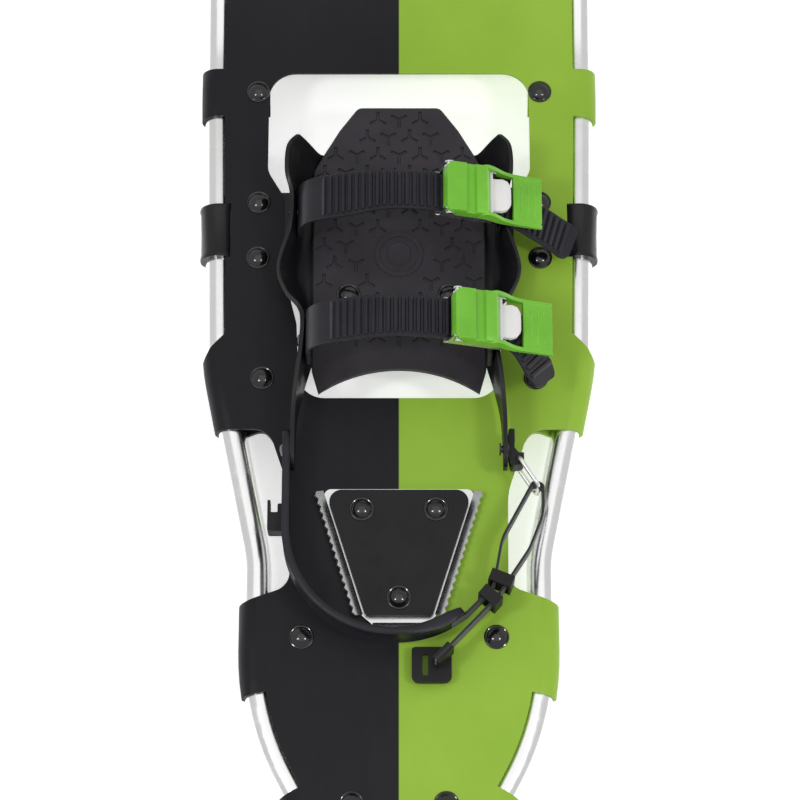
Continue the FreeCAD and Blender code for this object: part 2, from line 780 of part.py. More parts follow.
def ladder_strap(wing_x, y, rivet_z, apex, apex_r, tail):
    r1 = 18.0
    xs, lead, bend_z = strap_start(wing_x, r1, apex, apex_r)
    low = rivet_z - 8.0
    path = chain(
        V(-xs, y, low),
        UP,
        V(-1, 0, 0),
        [
            bend_z - low,
            (r1, -(90.0 - SLOPE)),
            lead,
            (apex_r, -2 * SLOPE),
            36.0,
            (30.0, -25.0),
            tail,
        ],
    )
    length = sum(run.length for run in path)
    strap = sweep(flat_section(STRAP_W, 0, STRAP_T), path, 0, length)
    first = path[0].length + path[1].length * 0.55
    count = int((length - 3.0 - first) / RIB_PITCH)
    ribs = []
    for i in range(count):
        where, ahead, above = frame_at(path, first + i * RIB_PITCH)
        rib = box(-STRAP_W / 2 + 1.5, STRAP_W / 2 - 1.5, STRAP_T - 0.3, STRAP_T + RIB_H, -1, 1)
        turn = FreeCAD.Rotation(ahead.cross(above), above, -ahead, "XYZ")
        rib.Placement = FreeCAD.Placement(where, turn)
        ribs.append(rib)
    strap = fuse([strap] + ribs)
    return strap.cut(hole(V(-wing_x, y, rivet_z), V(-1, 0, 0), 10.0, 2.25))


def base_strap(wing_x, y, rivet_z, apex, apex_r):
    """Built at the left like the ladder strap's first half, then mirrored to the right."""
    r1 = 7.0
    xs = wing_x - WING_T - 0.3 - STRAP_T
    a = math.radians(SLOPE)
    drop = 4.0
    px = -apex_r * math.sin(a) + drop * math.sin(a)
    pz = apex - apex_r * (1 - math.cos(a)) - drop * math.cos(a)
    end_x = -xs + r1 * (1 - math.sin(a))
    end_z = pz + (end_x - px) * math.tan(a)
    low = rivet_z - 8.0
    path = chain(
        V(-xs, y, low),
        UP,
        V(-1, 0, 0),
        [end_z - r1 * math.cos(a) - low, (r1, -(90.0 - SLOPE)), (px - end_x) / math.cos(a) - 2],
    )
    strap = sweep(flat_section(STRAP_W, 0, STRAP_T), path, 0, sum(r.length for r in path))
    strap = strap.cut(hole(V(-wing_x, y, rivet_z), V(-1, 0, 0), 10.0, 2.25))
    return mirrored(strap)


def seat_place(y, apex, apex_r):
    """Where the buckle sits: the middle of the strap's straight outboard slope."""
    a = math.radians(SLOPE)
    x = apex_r * math.sin(a) + 18.0 * math.cos(a)
    z = apex - apex_r * (1 - math.cos(a)) - 18.0 * math.sin(a)
    return FreeCAD.Placement(V(x, y, z), FreeCAD.Rotation(V(0, 1, 0), SLOPE))


PIN_U, PIN_W = -12.0, 9.0
TAB_U, TAB_W = 13.5, 8.3
CHEEK_IN = STRAP_W / 2 + 0.3
CHEEK_OUT = CHEEK_IN + 1.0
ARM_IN = CHEEK_OUT + 0.3
ARM_OUT = ARM_IN + 1.6


def chassis():
    floor = box(-17, 17, -CHEEK_OUT, CHEEK_OUT, -1.3, -0.3)
    cheek = front_slab(
        [
            (-15.1, -1.3),
            (-15.1, 12.1, 3.0),
            (8.0, 12.1, 2.0),
            (16.5, 10.5, 2.0),
            (16.5, -1.3),
        ],
        CHEEK_IN,
        CHEEK_OUT,
    )
    other = cheek.mirror(V(0, 0, 0), V(0, 1, 0))
    shape = fuse([floor, cheek, other])
    bores = [(PIN_U, PIN_W, 1.65), (TAB_U, TAB_W, 1.25)]
    for u, w, r in bores:
        shape = shape.cut(Part.makeCylinder(r, 40, V(u, -20, w), V(0, 1, 0)))
    return shape


def lever():
    block = front_slab(
        [
            (-15.1, 6.6, 1.5),
            (-15.1, 13.0, 2.0),
            (-9.0, 15.0, 2.0),
            (9.0, 15.0, 2.0),
            (11.3, 12.0, 1.5),
            (11.3, 6.6, 0.0),
        ],
        -ARM_OUT,
        ARM_OUT,
    )
    for v0 in (-CHEEK_OUT - 0.3, CHEEK_IN - 0.3):
        block = block.cut(box(-20, 20, v0, v0 + 1.6, 0, 12.5))
    for u in (-4.5, 0.0, 4.5):
        block = block.cut(box(u - 0.8, u + 0.8, -11, 11, 14.2, 16))
    arm = front_slab(
        [
            (8.0, 7.0, 0.0),
            (8.0, 14.0, 0.0),
            (12.0, 13.5, 6.0),
            (24.0, 7.4, 8.0),
            (45.5, 6.6, 1.0),
            (45.5, 3.8, 1.0),
            (24.0, 3.2, 8.0),
        ],
        ARM_IN,
        ARM_OUT,
    )
    other = arm.mirror(V(0, 0, 0), V(0, 1, 0))
    end = box(29.0, 45.5, -ARM_OUT, ARM_OUT, 4.2, 6.4)
    corner = [e for e in end.Edges if e.Length < 2.5 and e.BoundBox.XMin > 43]
    end = end.makeFillet(4.0, corner)
    shape = fuse([block, arm, other, end])
    return shape.cut(Part.makeCylinder(1.65, 40, V(PIN_U, -20, PIN_W), V(0, 1, 0)))


def release_tab():
    body = slab(
        [(12.2, 10.4, 1.0), (25.5, 10.4, 5.0), (25.5, -10.4, 5.0), (12.2, -10.4, 1.0)], 6.8, 9.9
    )
    axle = Part.makeCylinder(1.2, 2 * CHEEK_OUT, V(TAB_U, -CHEEK_OUT, TAB_W), V(0, 1, 0))
    return fuse([body, axle])


def buckle_pins():
    pin = Part.makeCylinder(1.6, 2 * ARM_OUT + 0.4, V(PIN_U, -ARM_OUT - 0.2, PIN_W), V(0, 1, 0))
    heads = [
        Part.makeCylinder(2.6, 0.9, V(PIN_U, ARM_OUT + 0.15, PIN_W), V(0, 1, 0)),
        Part.makeCylinder(2.6, 0.9, V(PIN_U, -ARM_OUT - 1.05, PIN_W), V(0, 1, 0)),
    ]
    screw = Part.makeCylinder(2.0, 2.9, V(4.0, 0, -4.2))
    screw_head = Part.makeCylinder(3.6, 0.9, V(4.0, 0, -5.1))
    return [fuse([pin] + heads), fuse([screw, screw_head])]


straps = [
    ("toe", WING_X, TOE_Y, TOE_RIVET_Z, TOE_APEX, 58.0, 14.0),
    ("instep", WING_INSTEP_X, INSTEP_Y, INSTEP_RIVET_Z, INSTEP_APEX, 70.0, 18.0),
]
for name, wing_x, y, rivet_z, apex, apex_r, tail in straps:
    place = seat_place(y, apex, apex_r)
    save(name + "_ladder_strap", ladder_strap(wing_x, y, rivet_z, apex, apex_r, tail))
    base = base_strap(wing_x, y, rivet_z, apex, apex_r)
    screw_way = Part.makeCylinder(2.05, 6.0, V(4.0, 0, -5.0))
    screw_way.Placement = place
    save(name + "_base_strap", base.cut(screw_way))
    pieces = [
        ("_chassis", chassis()),
        ("_lever", lever()),
        ("_release_tab", release_tab()),
        ("_buckle_pins", Part.makeCompound(buckle_pins())),
    ]
    for suffix, shape in pieces:
        shape.Placement = place
        save(name + suffix, shape)

# ---------------------------------------------------------------- heel strap
heel_x = WING_ARM_X + 0.3 + HEEL_STRAP_T / 2
heel_r = 60.0
heel_line = Run(V(-heel_x, -55.0, 0), V(0, -1, 0), UP, 57.0)
point, along, up = heel_line.frame(57.0)
heel_arc = Run(point, along, up, 0.0, heel_r, 129.0)
heel_face = flat_section(HEEL_STRAP_T, HEEL_LOW, HEEL_HIGH)
heel_strap = sweep(heel_face, [heel_line, heel_arc], 0, heel_line.length + heel_arc.length)
left_arm = V(-WING_ARM_X, ARM_Y, ARM_Z)
heel_strap = heel_strap.cut(hole(left_arm, V(-1, 0, 0), 10.0, 2.25))
heel_strap = heel_strap.cut(Part.makeCylinder(2.25, 12, left_arm, V(-1, 0, 0)))
save("heel_strap", heel_strap)

# thin webbing: out from the strap end, round the hook bar and back to its free end
web_path = flat_path(
    [
        (28.6, -166.3, 0),
        (37.7, -160.1, 12.0),
        (52.0, -145.5, 12.0),
        (57.0, -118.0, 30.0),
        (75.0, -84.5, 2.6),
        (80.3, -87.0, 2.6),
        (80.0, -104.0, 30.0),
        (72.0, -124.0, 30.0),
        (54.0, -151.5, 30.0),
        (20.0, -187.0, 0),
    ],
    0.0,
)
web_face = flat_section(WEB_T, WEB_LOW, WEB_HIGH)
webbing = sweep(web_face, web_path, 0, sum(run.length for run in web_path))
save("heel_webbing", webbing)


def keeper(x, y, angle, length, width):
    """A moulded slider: a short sleeve round both strands of the webbing."""
    outer = box(-length / 2, length / 2, -width / 2, width / 2, WEB_LOW - 2.2, WEB_HIGH + 2.2)
    inner_w = width / 2 - 1.6
    inner = box(-length, length, -inner_w, inner_w, WEB_LOW - 0.5, WEB_HIGH + 0.5)
    shape = outer.cut(inner)
    shape.rotate(V(0, 0, 0), UP, angle)
    shape.translate(V(x, y, 0))
    return shape


keepers = [keeper(56.4, -141.4, 68.0, 7.0, 13.4), keeper(50.3, -151.3, 50.0, 7.0, 12.2)]
save("strap_keepers", keepers)

# wire hook ring standing upright between the clip and the webbing
ring_front = V(66.5, -71.5, 0)
ring_rear = V(77.4, -88.6, 0)
ring_way = (ring_rear - ring_front).normalize()
ring_length = (ring_rear - ring_front).Length
WIRE_R = 1.2
ring_low, ring_high = 49.0, 68.0
corner_wire = rounded(
    [
        (0.0, ring_low, 4.0),
        (ring_length, ring_low, 4.0),
        (ring_length, ring_high, 4.0),
        (0.0, ring_high, 4.0),
    ]
)
ring_turn = FreeCAD.Rotation(ring_way, UP, ring_way.cross(UP), "XYZ")
corner_wire.Placement = FreeCAD.Placement(ring_front, ring_turn)
start_edge = corner_wire.Edges[0]
begin = start_edge.valueAt(start_edge.FirstParameter)
tangent = start_edge.tangentAt(start_edge.FirstParameter)
circle = Part.Wire(Part.makeCircle(WIRE_R, begin, tangent))
hook_ring = corner_wire.makePipeShell([circle], True, False)
save("hook_ring", hook_ring)

# moulded clip on the right arm that holds the ring
clip = slab(
    [
        (heel_x - 1.5, -54.0, 1.0),
        (heel_x + 2.0, -54.0, 1.0),
        (heel_x + 2.0, -62.0, 0.0),
        (69.8, -68.0, 1.5),
        (69.8, -75.0, 2.0),
        (heel_x - 0.5, -76.0, 2.0),
        (heel_x - 1.5, -70.0, 0.0),
    ],
    53.0,
    64.0,
)
clip = clip.cut(post(66.5, -71.5, 40, 80, WIRE_R + 0.3))
right_arm = V(WING_ARM_X, ARM_Y, ARM_Z)
clip = clip.cut(Part.makeCylinder(2.25, 12, right_arm, RIGHT))
clip = clip.cut(Part.makeCylinder(5.0, 12, right_arm + RIGHT * arm_outer, RIGHT))
save("hook_clip", clip)

# small J clip on the outside of the strap, left
jaw_x = -heel_x - HEEL_STRAP_T / 2
side_clip = slab(
    [
        (jaw_x - 0.05, -98.0, 0.0),
        (jaw_x - 3.0, -98.0, 1.0),
        (jaw_x - 3.0, -103.0, 0.5),
        (jaw_x - 7.0, -103.0, 1.0),
        (jaw_x - 7.0, -96.0, 0.0),
        (jaw_x - 8.6, -96.0, 0.0),
        (jaw_x - 8.6, -114.0, 1.5),
        (jaw_x - 0.05, -114.0, 0.0),
    ],
    54.0,
    64.0,
)
save("side_clip", side_clip)

# moulded pull tab on the free end of the webbing
tab = slab(
    [
        (7.0, -176.0, 2.0),
        (29.0, -176.0, 2.0),
        (29.0, -196.0, 4.0),
        (7.0, -196.0, 4.0),
    ],
    46.0,
    49.2,
)
slot = slab(
    [(13.0, -180.0, 1.0), (16.0, -180.0, 1.0), (16.0, -192.0, 1.0), (13.0, -192.0, 1.0)], 40, 60
)
grip = box(-6.0, 6.0, -2.4, 2.4, 49.0, WEB_HIGH - 1.0)
grip = grip.cut(box(-7.0, 7.0, -WEB_T / 2 - 0.05, WEB_T / 2 + 0.05, WEB_LOW - 0.1, 80))
grip.rotate(V(0, 0, 0), UP, 46.2)
grip.translate(V(24.2, -182.6, 0))
save("pull_tab", fuse([tab.cut(slot), grip]))
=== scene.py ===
import json
import math

import bmesh
import bpy
from mathutils import Matrix, Vector


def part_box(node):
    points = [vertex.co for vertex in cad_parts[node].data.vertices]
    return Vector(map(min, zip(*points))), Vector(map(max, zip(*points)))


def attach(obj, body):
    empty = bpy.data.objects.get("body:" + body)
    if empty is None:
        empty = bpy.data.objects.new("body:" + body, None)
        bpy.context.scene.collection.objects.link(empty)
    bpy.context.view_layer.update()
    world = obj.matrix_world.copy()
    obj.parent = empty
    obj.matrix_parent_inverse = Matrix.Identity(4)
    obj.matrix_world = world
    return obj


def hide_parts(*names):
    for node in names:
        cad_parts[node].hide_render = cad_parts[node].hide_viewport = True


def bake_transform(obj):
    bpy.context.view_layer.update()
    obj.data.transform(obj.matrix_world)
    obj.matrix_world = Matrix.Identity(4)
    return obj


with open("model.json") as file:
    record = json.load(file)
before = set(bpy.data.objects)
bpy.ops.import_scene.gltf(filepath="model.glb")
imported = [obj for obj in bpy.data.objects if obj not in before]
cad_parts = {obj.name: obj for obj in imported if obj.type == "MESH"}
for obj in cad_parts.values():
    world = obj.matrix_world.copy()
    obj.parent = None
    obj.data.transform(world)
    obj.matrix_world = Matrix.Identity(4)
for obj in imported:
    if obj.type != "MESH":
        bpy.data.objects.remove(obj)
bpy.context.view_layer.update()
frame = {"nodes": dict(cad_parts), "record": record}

nodes = frame["nodes"]
scene = bpy.context.scene
scene.view_settings.view_transform = "Standard"

MM = 0.001


# ---------------------------------------------------------------- materials
def srgb(r, g, b):
    """Linear colour from 0 to 255 display values."""
    found = []
    for value in (r, g, b):
        c = value / 255
        found.append(c / 12.92 if c <= 0.04045 else ((c + 0.055) / 1.055) ** 2.4)
    return (*found, 1.0)


class Shader:
    """A small builder of procedural materials on object coordinates."""

    def __init__(self, name):
        self.material = bpy.data.materials.new(name)
        self.material.use_nodes = True
        self.tree = self.material.node_tree
        self.surface = self.tree.nodes["Principled BSDF"]
        self.coords = self.tree.nodes.new("ShaderNodeTexCoord").outputs["Object"]

    def link(self, source, target):
        self.tree.links.new(source, target)

    def set(self, **values):
        for name, value in values.items():
            self.surface.inputs[name.replace("_", " ")].default_value = value
        return self

    def stretched(self, scale):
        """Object coordinates scaled by a vector, for grain with a direction."""
        node = self.tree.nodes.new("ShaderNodeMapping")
        node.inputs["Scale"].default_value = scale
        self.link(self.coords, node.inputs["Vector"])
        return node.outputs["Vector"]

    def noise(self, scale, detail=3.0, rough=0.55, coords=None):
        node = self.tree.nodes.new("ShaderNodeTexNoise")
        node.inputs["Scale"].default_value = scale
        node.inputs["Detail"].default_value = detail
        node.inputs["Roughness"].default_value = rough
        self.link(coords or self.coords, node.inputs["Vector"])
        return node.outputs["Fac"]

    def ramp(self, fac, stops):
        """Colours or greys at positions along a factor."""
        node = self.tree.nodes.new("ShaderNodeValToRGB")
        ends = node.color_ramp.elements
        while len(ends) < len(stops):
            ends.new(0.5)
        for element, (position, colour) in zip(ends, stops):
            element.position = position
            element.color = colour if hasattr(colour, "__len__") else (colour,) * 3 + (1.0,)
        self.link(fac, node.inputs["Fac"])
        return node.outputs["Color"]

    def range(self, fac, low, high, start=0.0, end=1.0):
        node = self.tree.nodes.new("ShaderNodeMapRange")
        node.inputs["From Min"].default_value = start
        node.inputs["From Max"].default_value = end
        node.inputs["To Min"].default_value = low
        node.inputs["To Max"].default_value = high
        self.link(fac, node.inputs["Value"])
        return node.outputs["Result"]

    def math(self, operation, a, b):
        node = self.tree.nodes.new("ShaderNodeMath")
        node.operation = operation
        for socket, value in zip(node.inputs, (a, b)):
            if isinstance(value, (int, float)):
                socket.default_value = value
            else:
                self.link(value, socket)
        return node.outputs["Value"]

    def mix(self, fac, a, b, blend="MIX"):
        node = self.tree.nodes.new("ShaderNodeMix")
        node.data_type = "RGBA"
        node.blend_type = blend
        for name, value in (("Factor_Float", fac), ("A_Color", a), ("B_Color", b)):
            socket = [s for s in node.inputs if s.identifier == name][0]
            if hasattr(value, "node"):
                self.link(value, socket)
            else:
                socket.default_value = value
        return [s for s in node.outputs if s.identifier == "Result_Color"][0]

    def axis(self, name):
        node = self.tree.nodes.new("ShaderNodeSeparateXYZ")
        self.link(self.coords, node.inputs["Vector"])
        return node.outputs[name]

    def edges(self, radius):
        """1 on sharp edges and 0 on open faces, from rounded and true normals."""
        bevel = self.tree.nodes.new("ShaderNodeBevel")
        bevel.samples = 4
        bevel.inputs["Radius"].default_value = radius
        shape = self.tree.nodes.new("ShaderNodeNewGeometry")
        dot = self.tree.nodes.new("ShaderNodeVectorMath")
        dot.operation = "DOT_PRODUCT"
        self.link(bevel.outputs["Normal"], dot.inputs[0])
        self.link(shape.outputs["Normal"], dot.inputs[1])
        return self.range(dot.outputs["Value"], 1.0, 0.0, 0.72, 0.97)

    def bump(self, height, distance, strength=1.0):
        node = self.tree.nodes.new("ShaderNodeBump")
        node.inputs["Strength"].default_value = strength
        node.inputs["Distance"].default_value = distance
        self.link(height, node.inputs["Height"])
        if self.surface.inputs["Normal"].is_linked:
            before = self.surface.inputs["Normal"].links[0].from_socket
            self.link(before, node.inputs["Normal"])
        self.link(node.outputs["Normal"], self.surface.inputs["Normal"])
        return self

    def colour(self, socket):
        self.link(socket, self.surface.inputs["Base Color"])
        return self

    def rough(self, socket):
        self.link(socket, self.surface.inputs["Roughness"])
        return self


def plastic(name, base, worn, roughness, grain, depth, spread=0.12, coat=0.0, shine=0.25):
    """Moulded plastic or urethane: cloudy colour, fine grain, paler rubbed edges."""
    s = Shader(name)
    s.set(Coat_Weight=coat, Coat_Roughness=0.12, Specular_IOR_Level=shine)
    cloud = s.noise(38.0, 4.0)
    dark = tuple(c * (1 - spread * 2) for c in base[:3]) + (1.0,)
    light = tuple(min(c * (1 + spread * 2), 1.0) for c in base[:3]) + (1.0,)
    body = s.ramp(cloud, [(0.3, dark), (0.7, light)])
    scuff = s.range(s.noise(160.0, 3.0), 0.0, 1.0, 0.56, 0.74)
    rub = s.math("MULTIPLY", s.edges(0.0006), s.range(s.noise(220.0), 0.2, 1.0, 0.35, 0.6))
    s.colour(s.mix(rub, body, worn))
    s.rough(s.range(scuff, roughness, min(roughness + 0.16, 0.95)))
    s.bump(s.noise(grain, 2.0), depth)
    return s.material


def brushed(name, base, roughness, direction, tint):
    """Metal with fine lines along one direction and cloudy handling marks."""
    s = Shader(name)
    s.set(Metallic=1.0)
    lines = s.noise(1.0, 4.0, 0.65, s.stretched(direction))
    cloud = s.noise(26.0, 3.0)
    metal = s.ramp(cloud, [(0.25, tint), (0.75, base)])
    s.colour(s.mix(s.range(lines, 0.0, 0.25, 0.35, 0.65), metal, tint))
    spots = s.range(s.noise(90.0, 4.0), 0.0, 0.1, 0.5, 0.7)
    s.rough(s.math("ADD", s.range(lines, roughness - 0.06, roughness + 0.08), spots))
    s.bump(lines, 0.00002, 0.6)
    return s.material


def deck_material():
    """Coated sheet: black on the left half, green on the right, fine cloth grain under the coat."""
    s = Shader("deck_sheet")
    s.set(Specular_IOR_Level=0.2)
    side = s.range(s.axis("X"), 0.0, 1.0, -0.0003, 0.0003)
    cloud = s.noise(14.0, 4.0)
    green = s.ramp(cloud, [(0.25, srgb(133, 172, 50)), (0.75, srgb(148, 186, 62))])
    black = s.ramp(cloud, [(0.25, srgb(20, 19, 23)), (0.75, srgb(26, 25, 30))])
    face = s.mix(side, black, green)
    worn = s.mix(side, srgb(46, 45, 50), srgb(166, 192, 96))
    rub = s.math("MULTIPLY", s.edges(0.0008), s.range(s.noise(140.0), 0.1, 0.8, 0.4, 0.62))
    s.colour(s.mix(rub, face, worn))
    streaks = s.noise(1.0, 4.0, 0.6, s.stretched((160.0, 22.0, 60.0)))
    s.rough(s.range(streaks, 0.38, 0.58, 0.3, 0.7))
    across = s.tree.nodes.new("ShaderNodeTexWave")
    across.bands_direction = "X"
    across.inputs["Scale"].default_value = 420.0
    across.inputs["Distortion"].default_value = 0.6
    s.link(s.coords, across.inputs["Vector"])
    along = s.tree.nodes.new("ShaderNodeTexWave")
    along.bands_direction = "Y"
    along.inputs["Scale"].default_value = 420.0
    along.inputs["Distortion"].default_value = 0.6
    s.link(s.coords, along.inputs["Vector"])
    cloth = s.math("MAXIMUM", across.outputs["Fac"], along.outputs["Fac"])
    s.bump(cloth, 0.00004, 0.35)
    s.bump(s.noise(30.0, 2.0), 0.0006, 0.25)
    return s.material


def webbing_material():
    s = Shader("webbing")
    s.set(Sheen_Weight=0.3, Sheen_Roughness=0.4)
    warp = s.tree.nodes.new("ShaderNodeTexWave")
    warp.bands_direction = "Z"
    warp.inputs["Scale"].default_value = 330.0
    s.link(s.coords, warp.inputs["Vector"])
    weft = s.tree.nodes.new("ShaderNodeTexWave")
    weft.bands_direction = "DIAGONAL"
    weft.inputs["Scale"].default_value = 420.0
    s.link(s.coords, weft.inputs["Vector"])
    cloth = s.math("MULTIPLY", warp.outputs["Fac"], weft.outputs["Fac"])
    s.colour(s.ramp(cloth, [(0.1, srgb(16, 16, 18)), (0.8, srgb(38, 37, 41))]))
    s.rough(s.range(s.noise(200.0), 0.5, 0.75))
    s.bump(cloth, 0.0002, 0.8)
    return s.material


def rivet_material():
    """Painted black rivet with a hard gloss."""
    s = Shader("black_rivet")
    s.set(Coat_Weight=0.7, Coat_Roughness=0.05, Specular_IOR_Level=0.4)
    cloud = s.noise(120.0, 3.0)
    paint = s.ramp(cloud, [(0.3, srgb(10, 10, 11)), (0.7, srgb(17, 17, 19))])
    rub = s.math("MULTIPLY", s.edges(0.0003), s.range(s.noise(500.0), 0.0, 0.7, 0.45, 0.65))
    s.colour(s.mix(rub, paint, srgb(110, 110, 112)))
    s.rough(s.range(s.noise(300.0), 0.12, 0.3))
    s.bump(s.noise(700.0), 0.00002, 0.4)
    return s.material


materials = {
    "anodised_tube": brushed(
        "anodised_tube", (0.94, 0.94, 0.945, 1), 0.2, (900.0, 14.0, 900.0), (0.9, 0.895, 0.89, 1)
    ),
    "steel": brushed(
        "steel", (0.86, 0.86, 0.865, 1), 0.26, (60.0, 900.0, 60.0), (0.72, 0.72, 0.73, 1)
    ),
    "black_rubber": plastic(
        "black_rubber", srgb(24, 24, 25), srgb(52, 52, 54), 0.62, 900.0, 0.00006
    ),
    "deck_sheet": deck_material(),
    "black_rivet": rivet_material(),
    "band_urethane": plastic(
        "band_urethane", srgb(24, 23, 26), srgb(58, 56, 60), 0.3, 700.0, 0.00003, 0.1, 0.2
    ),
    "black_plastic": plastic(
        "black_plastic", srgb(23, 23, 25), srgb(56, 56, 60), 0.46, 1300.0, 0.00005
    ),
    "grey_plastic": plastic(
        "grey_plastic", srgb(48, 45, 50), srgb(72, 69, 75), 0.5, 1500.0, 0.00007
    ),
    "wing_urethane": plastic(
        "wing_urethane", srgb(20, 20, 23), srgb(50, 49, 54), 0.4, 900.0, 0.00004, 0.1, 0.08
    ),
    "strap_urethane": plastic(
        "strap_urethane", srgb(35, 34, 40), srgb(68, 67, 76), 0.38, 1100.0, 0.00004
    ),
    "green_plastic": plastic(
        "green_plastic", srgb(112, 184, 52), srgb(170, 220, 120), 0.3, 1000.0, 0.00003, 0.06, 0.3
    ),
    "white_plastic": plastic(
        "white_plastic", srgb(226, 222, 224), srgb(246, 244, 246), 0.34, 1000.0, 0.00003, 0.03
    ),
    "webbing": webbing_material(),
}

slot_of = {}
for part in frame["record"]["subparts"]:
    slot_of[part["node"]] = part["material_slot"]


def paint(obj, slot):
    obj.data.materials.clear()
    obj.data.materials.append(materials[slot])


for name, node in nodes.items():
    paint(node, slot_of[name])
    weld = node.modifiers.new("weld", "WELD")
    weld.merge_threshold = 0.00001
    bevel = node.modifiers.new("edge", "BEVEL")
    bevel.width = 0.0004
    bevel.segments = 2
    bevel.limit_method = "ANGLE"
    bevel.angle_limit = math.radians(30)
    bevel.harden_normals = False

# ---------------------------------------------------------------- paths, all in mm like the CAD
UP = Vector((0, 0, 1))
TUBE_R = 8.0
TUBE_Z = 32.0
PIVOT_Y = 76.5
DECK_TOP = 41.9
STRAP_W = 24.0
STRAP_T = 2.4
RIB_H = 1.4
RIB_PITCH = 4.0
SLOPE = 20.0
WING_T = 3.0
TOE = {"wing": 61.5, "y": 78.0, "rivet": 62.0, "apex": 95.0, "r": 58.0}
INSTEP = {"wing": 55.5, "y": -2.5, "rivet": 66.0, "apex": 104.5, "r": 70.0}


class Run:
    """A straight or an arc of a path; a rise arc turns towards up, a plain one about up."""

    def __init__(self, origin, along, up, length=0.0, radius=0.0, turn=0.0, rise=False):
        self.origin, self.along, self.up = origin, along, up
        self.radius, self.turn = radius, turn
        self.length = radius * math.radians(abs(turn)) if radius else length
        across = along.cross(up)
        side = 1.0 if turn > 0 else -1.0
        self.hub = origin + (up if rise else -across) * (radius * side)
        self.axis = across if rise else up

    def frame(self, s):
        if not self.radius:
            return self.origin + self.along * s, self.along.copy(), self.up.copy()
        angle = math.radians(self.turn * s / self.length)
        rot = Matrix.Rotation(angle, 3, self.axis)
        return self.hub + rot @ (self.origin - self.hub), rot @ self.along, rot @ self.up


def flat_path(corners, z):
    """Straights joined by arcs through corners (x, y, radius) at one height."""
    runs = []
    start = Vector((corners[0][0], corners[0][1], z))
    for i in range(1, len(corners)):
        corner = Vector((corners[i][0], corners[i][1], z))
        along = (corner - start).normalized()
        if i == len(corners) - 1:
            runs.append(Run(start, along, UP, (corner - start).length))
            break
        after = (Vector((corners[i + 1][0], corners[i + 1][1], z)) - corner).normalized()
        turn = math.atan2(along.x * after.y - along.y * after.x, along.dot(after))
        back = corners[i][2] * math.tan(abs(turn) / 2)
        runs.append(Run(start, along, UP, (corner - start).length - back))
        runs.append(Run(corner - along * back, along, UP, 0.0, corners[i][2], math.degrees(turn)))
        start = corner + after * back
    return runs


def chain(start, along, up, steps):
    """Runs in one upright plane: a number is a straight, a pair is (radius, turn)."""
    runs = []
    for step in steps:
        if isinstance(step, tuple):
            runs.append(Run(start, along, up, 0.0, step[0], step[1], True))
        else:
            runs.append(Run(start, along, up, step))
        start, along, up = runs[-1].frame(runs[-1].length)
    return runs


def total(path):
    return sum(run.length for run in path)


def frame_at(path, s):
    for run in path:
        if s <= run.length:
            return run.frame(s)
        s -= run.length
    return path[-1].frame(path[-1].length)


def distance_to_y(path, y):
    low, high = 0.0, total(path)
    for _ in range(40):
        mid = (low + high) / 2
        if frame_at(path, mid)[0].y < y:
            low = mid
        else:
            high = mid
    return low


def spread(low, high, step):
    """Even distances from low to high, about one step apart."""
    count = max(2, round((high - low) / step) + 1)
    return [low + (high - low) * i / (count - 1) for i in range(count)]


def smooth(points, count):
    """Points on a smooth curve through the given ones, ends included."""
    found = []
    last = len(points) - 1
    for i in range(count):
        t = i / (count - 1) * last
        k = min(int(t), last - 1)
        f = t - k
        a, b, c = points[max(k - 1, 0)], points[k], points[k + 1]
        d = points[min(k + 2, last)]
        slope = (c - a) * f
        bend = (2 * a - 5 * b + 4 * c - d) * (f * f)
        twist = (3 * b - a - 3 * c + d) * (f * f * f)
        found.append((2 * b + slope + bend + twist) * 0.5)
    return found


# ---------------------------------------------------------------- meshes, built in mm
def loft(rings, looped=False, caps=True):
    """Faces between closed rings of points, with both end rings capped unless looped."""
    count = len(rings[0])
    points = [p for ring in rings for p in ring]
    faces = []
    for i in range(len(rings) if looped else len(rings) - 1):
        a = i * count
        b = (i + 1) % len(rings) * count
        for j in range(count):
            k = (j + 1) % count
            faces.append((a + j, a + k, b + k, b + j))
    if caps and not looped:
        start = (len(rings) - 1) * count
        faces.append(tuple(range(count - 1, -1, -1)))
        faces.append(tuple(range(start, start + count)))
    return points, faces


def joined(shapes):
    points, faces = [], []
    for some_points, some_faces in shapes:
        base = len(points)
        points += some_points
        faces += [tuple(i + base for i in face) for face in some_faces]
    return points, faces


def placed(shape, matrix):
    return [matrix @ p for p in shape[0]], shape[1]


def mirrored(shape):
    return [Vector((-p.x, p.y, p.z)) for p in shape[0]], [tuple(reversed(f)) for f in shape[1]]


def pair(shape):
    return joined([shape, mirrored(shape)])


def lathe(profile, steps=40):
    """A turned shape about Z from (radius, height) pairs; its first and last radius are small."""
    rings = []
    for radius, height in profile:
        ring = []
        for i in range(steps):
            a = 2 * math.pi * i / steps
            ring.append(Vector((radius * math.cos(a), radius * math.sin(a), height)))
        rings.append(ring)
    return loft(rings)


def turned_ring(profile, steps=64):
    """A turned ring about Z whose closed profile keeps clear of the axis."""
    rings = []
    for i in range(steps):
        a = 2 * math.pi * i / steps
        rings.append([Vector((r * math.cos(a), r * math.sin(a), h)) for r, h in profile])
    return loft(rings, looped=True)


def prism(outline, low, high, plane="xy"):
    """A closed outline of (a, b) pairs stood from low to high along the third axis."""
    rings = []
    for level in (low, high):
        if plane == "xy":
            rings.append([Vector((a, b, level)) for a, b in outline])
        else:
            rings.append([Vector((a, level, b)) for a, b in outline])
    return loft(rings)


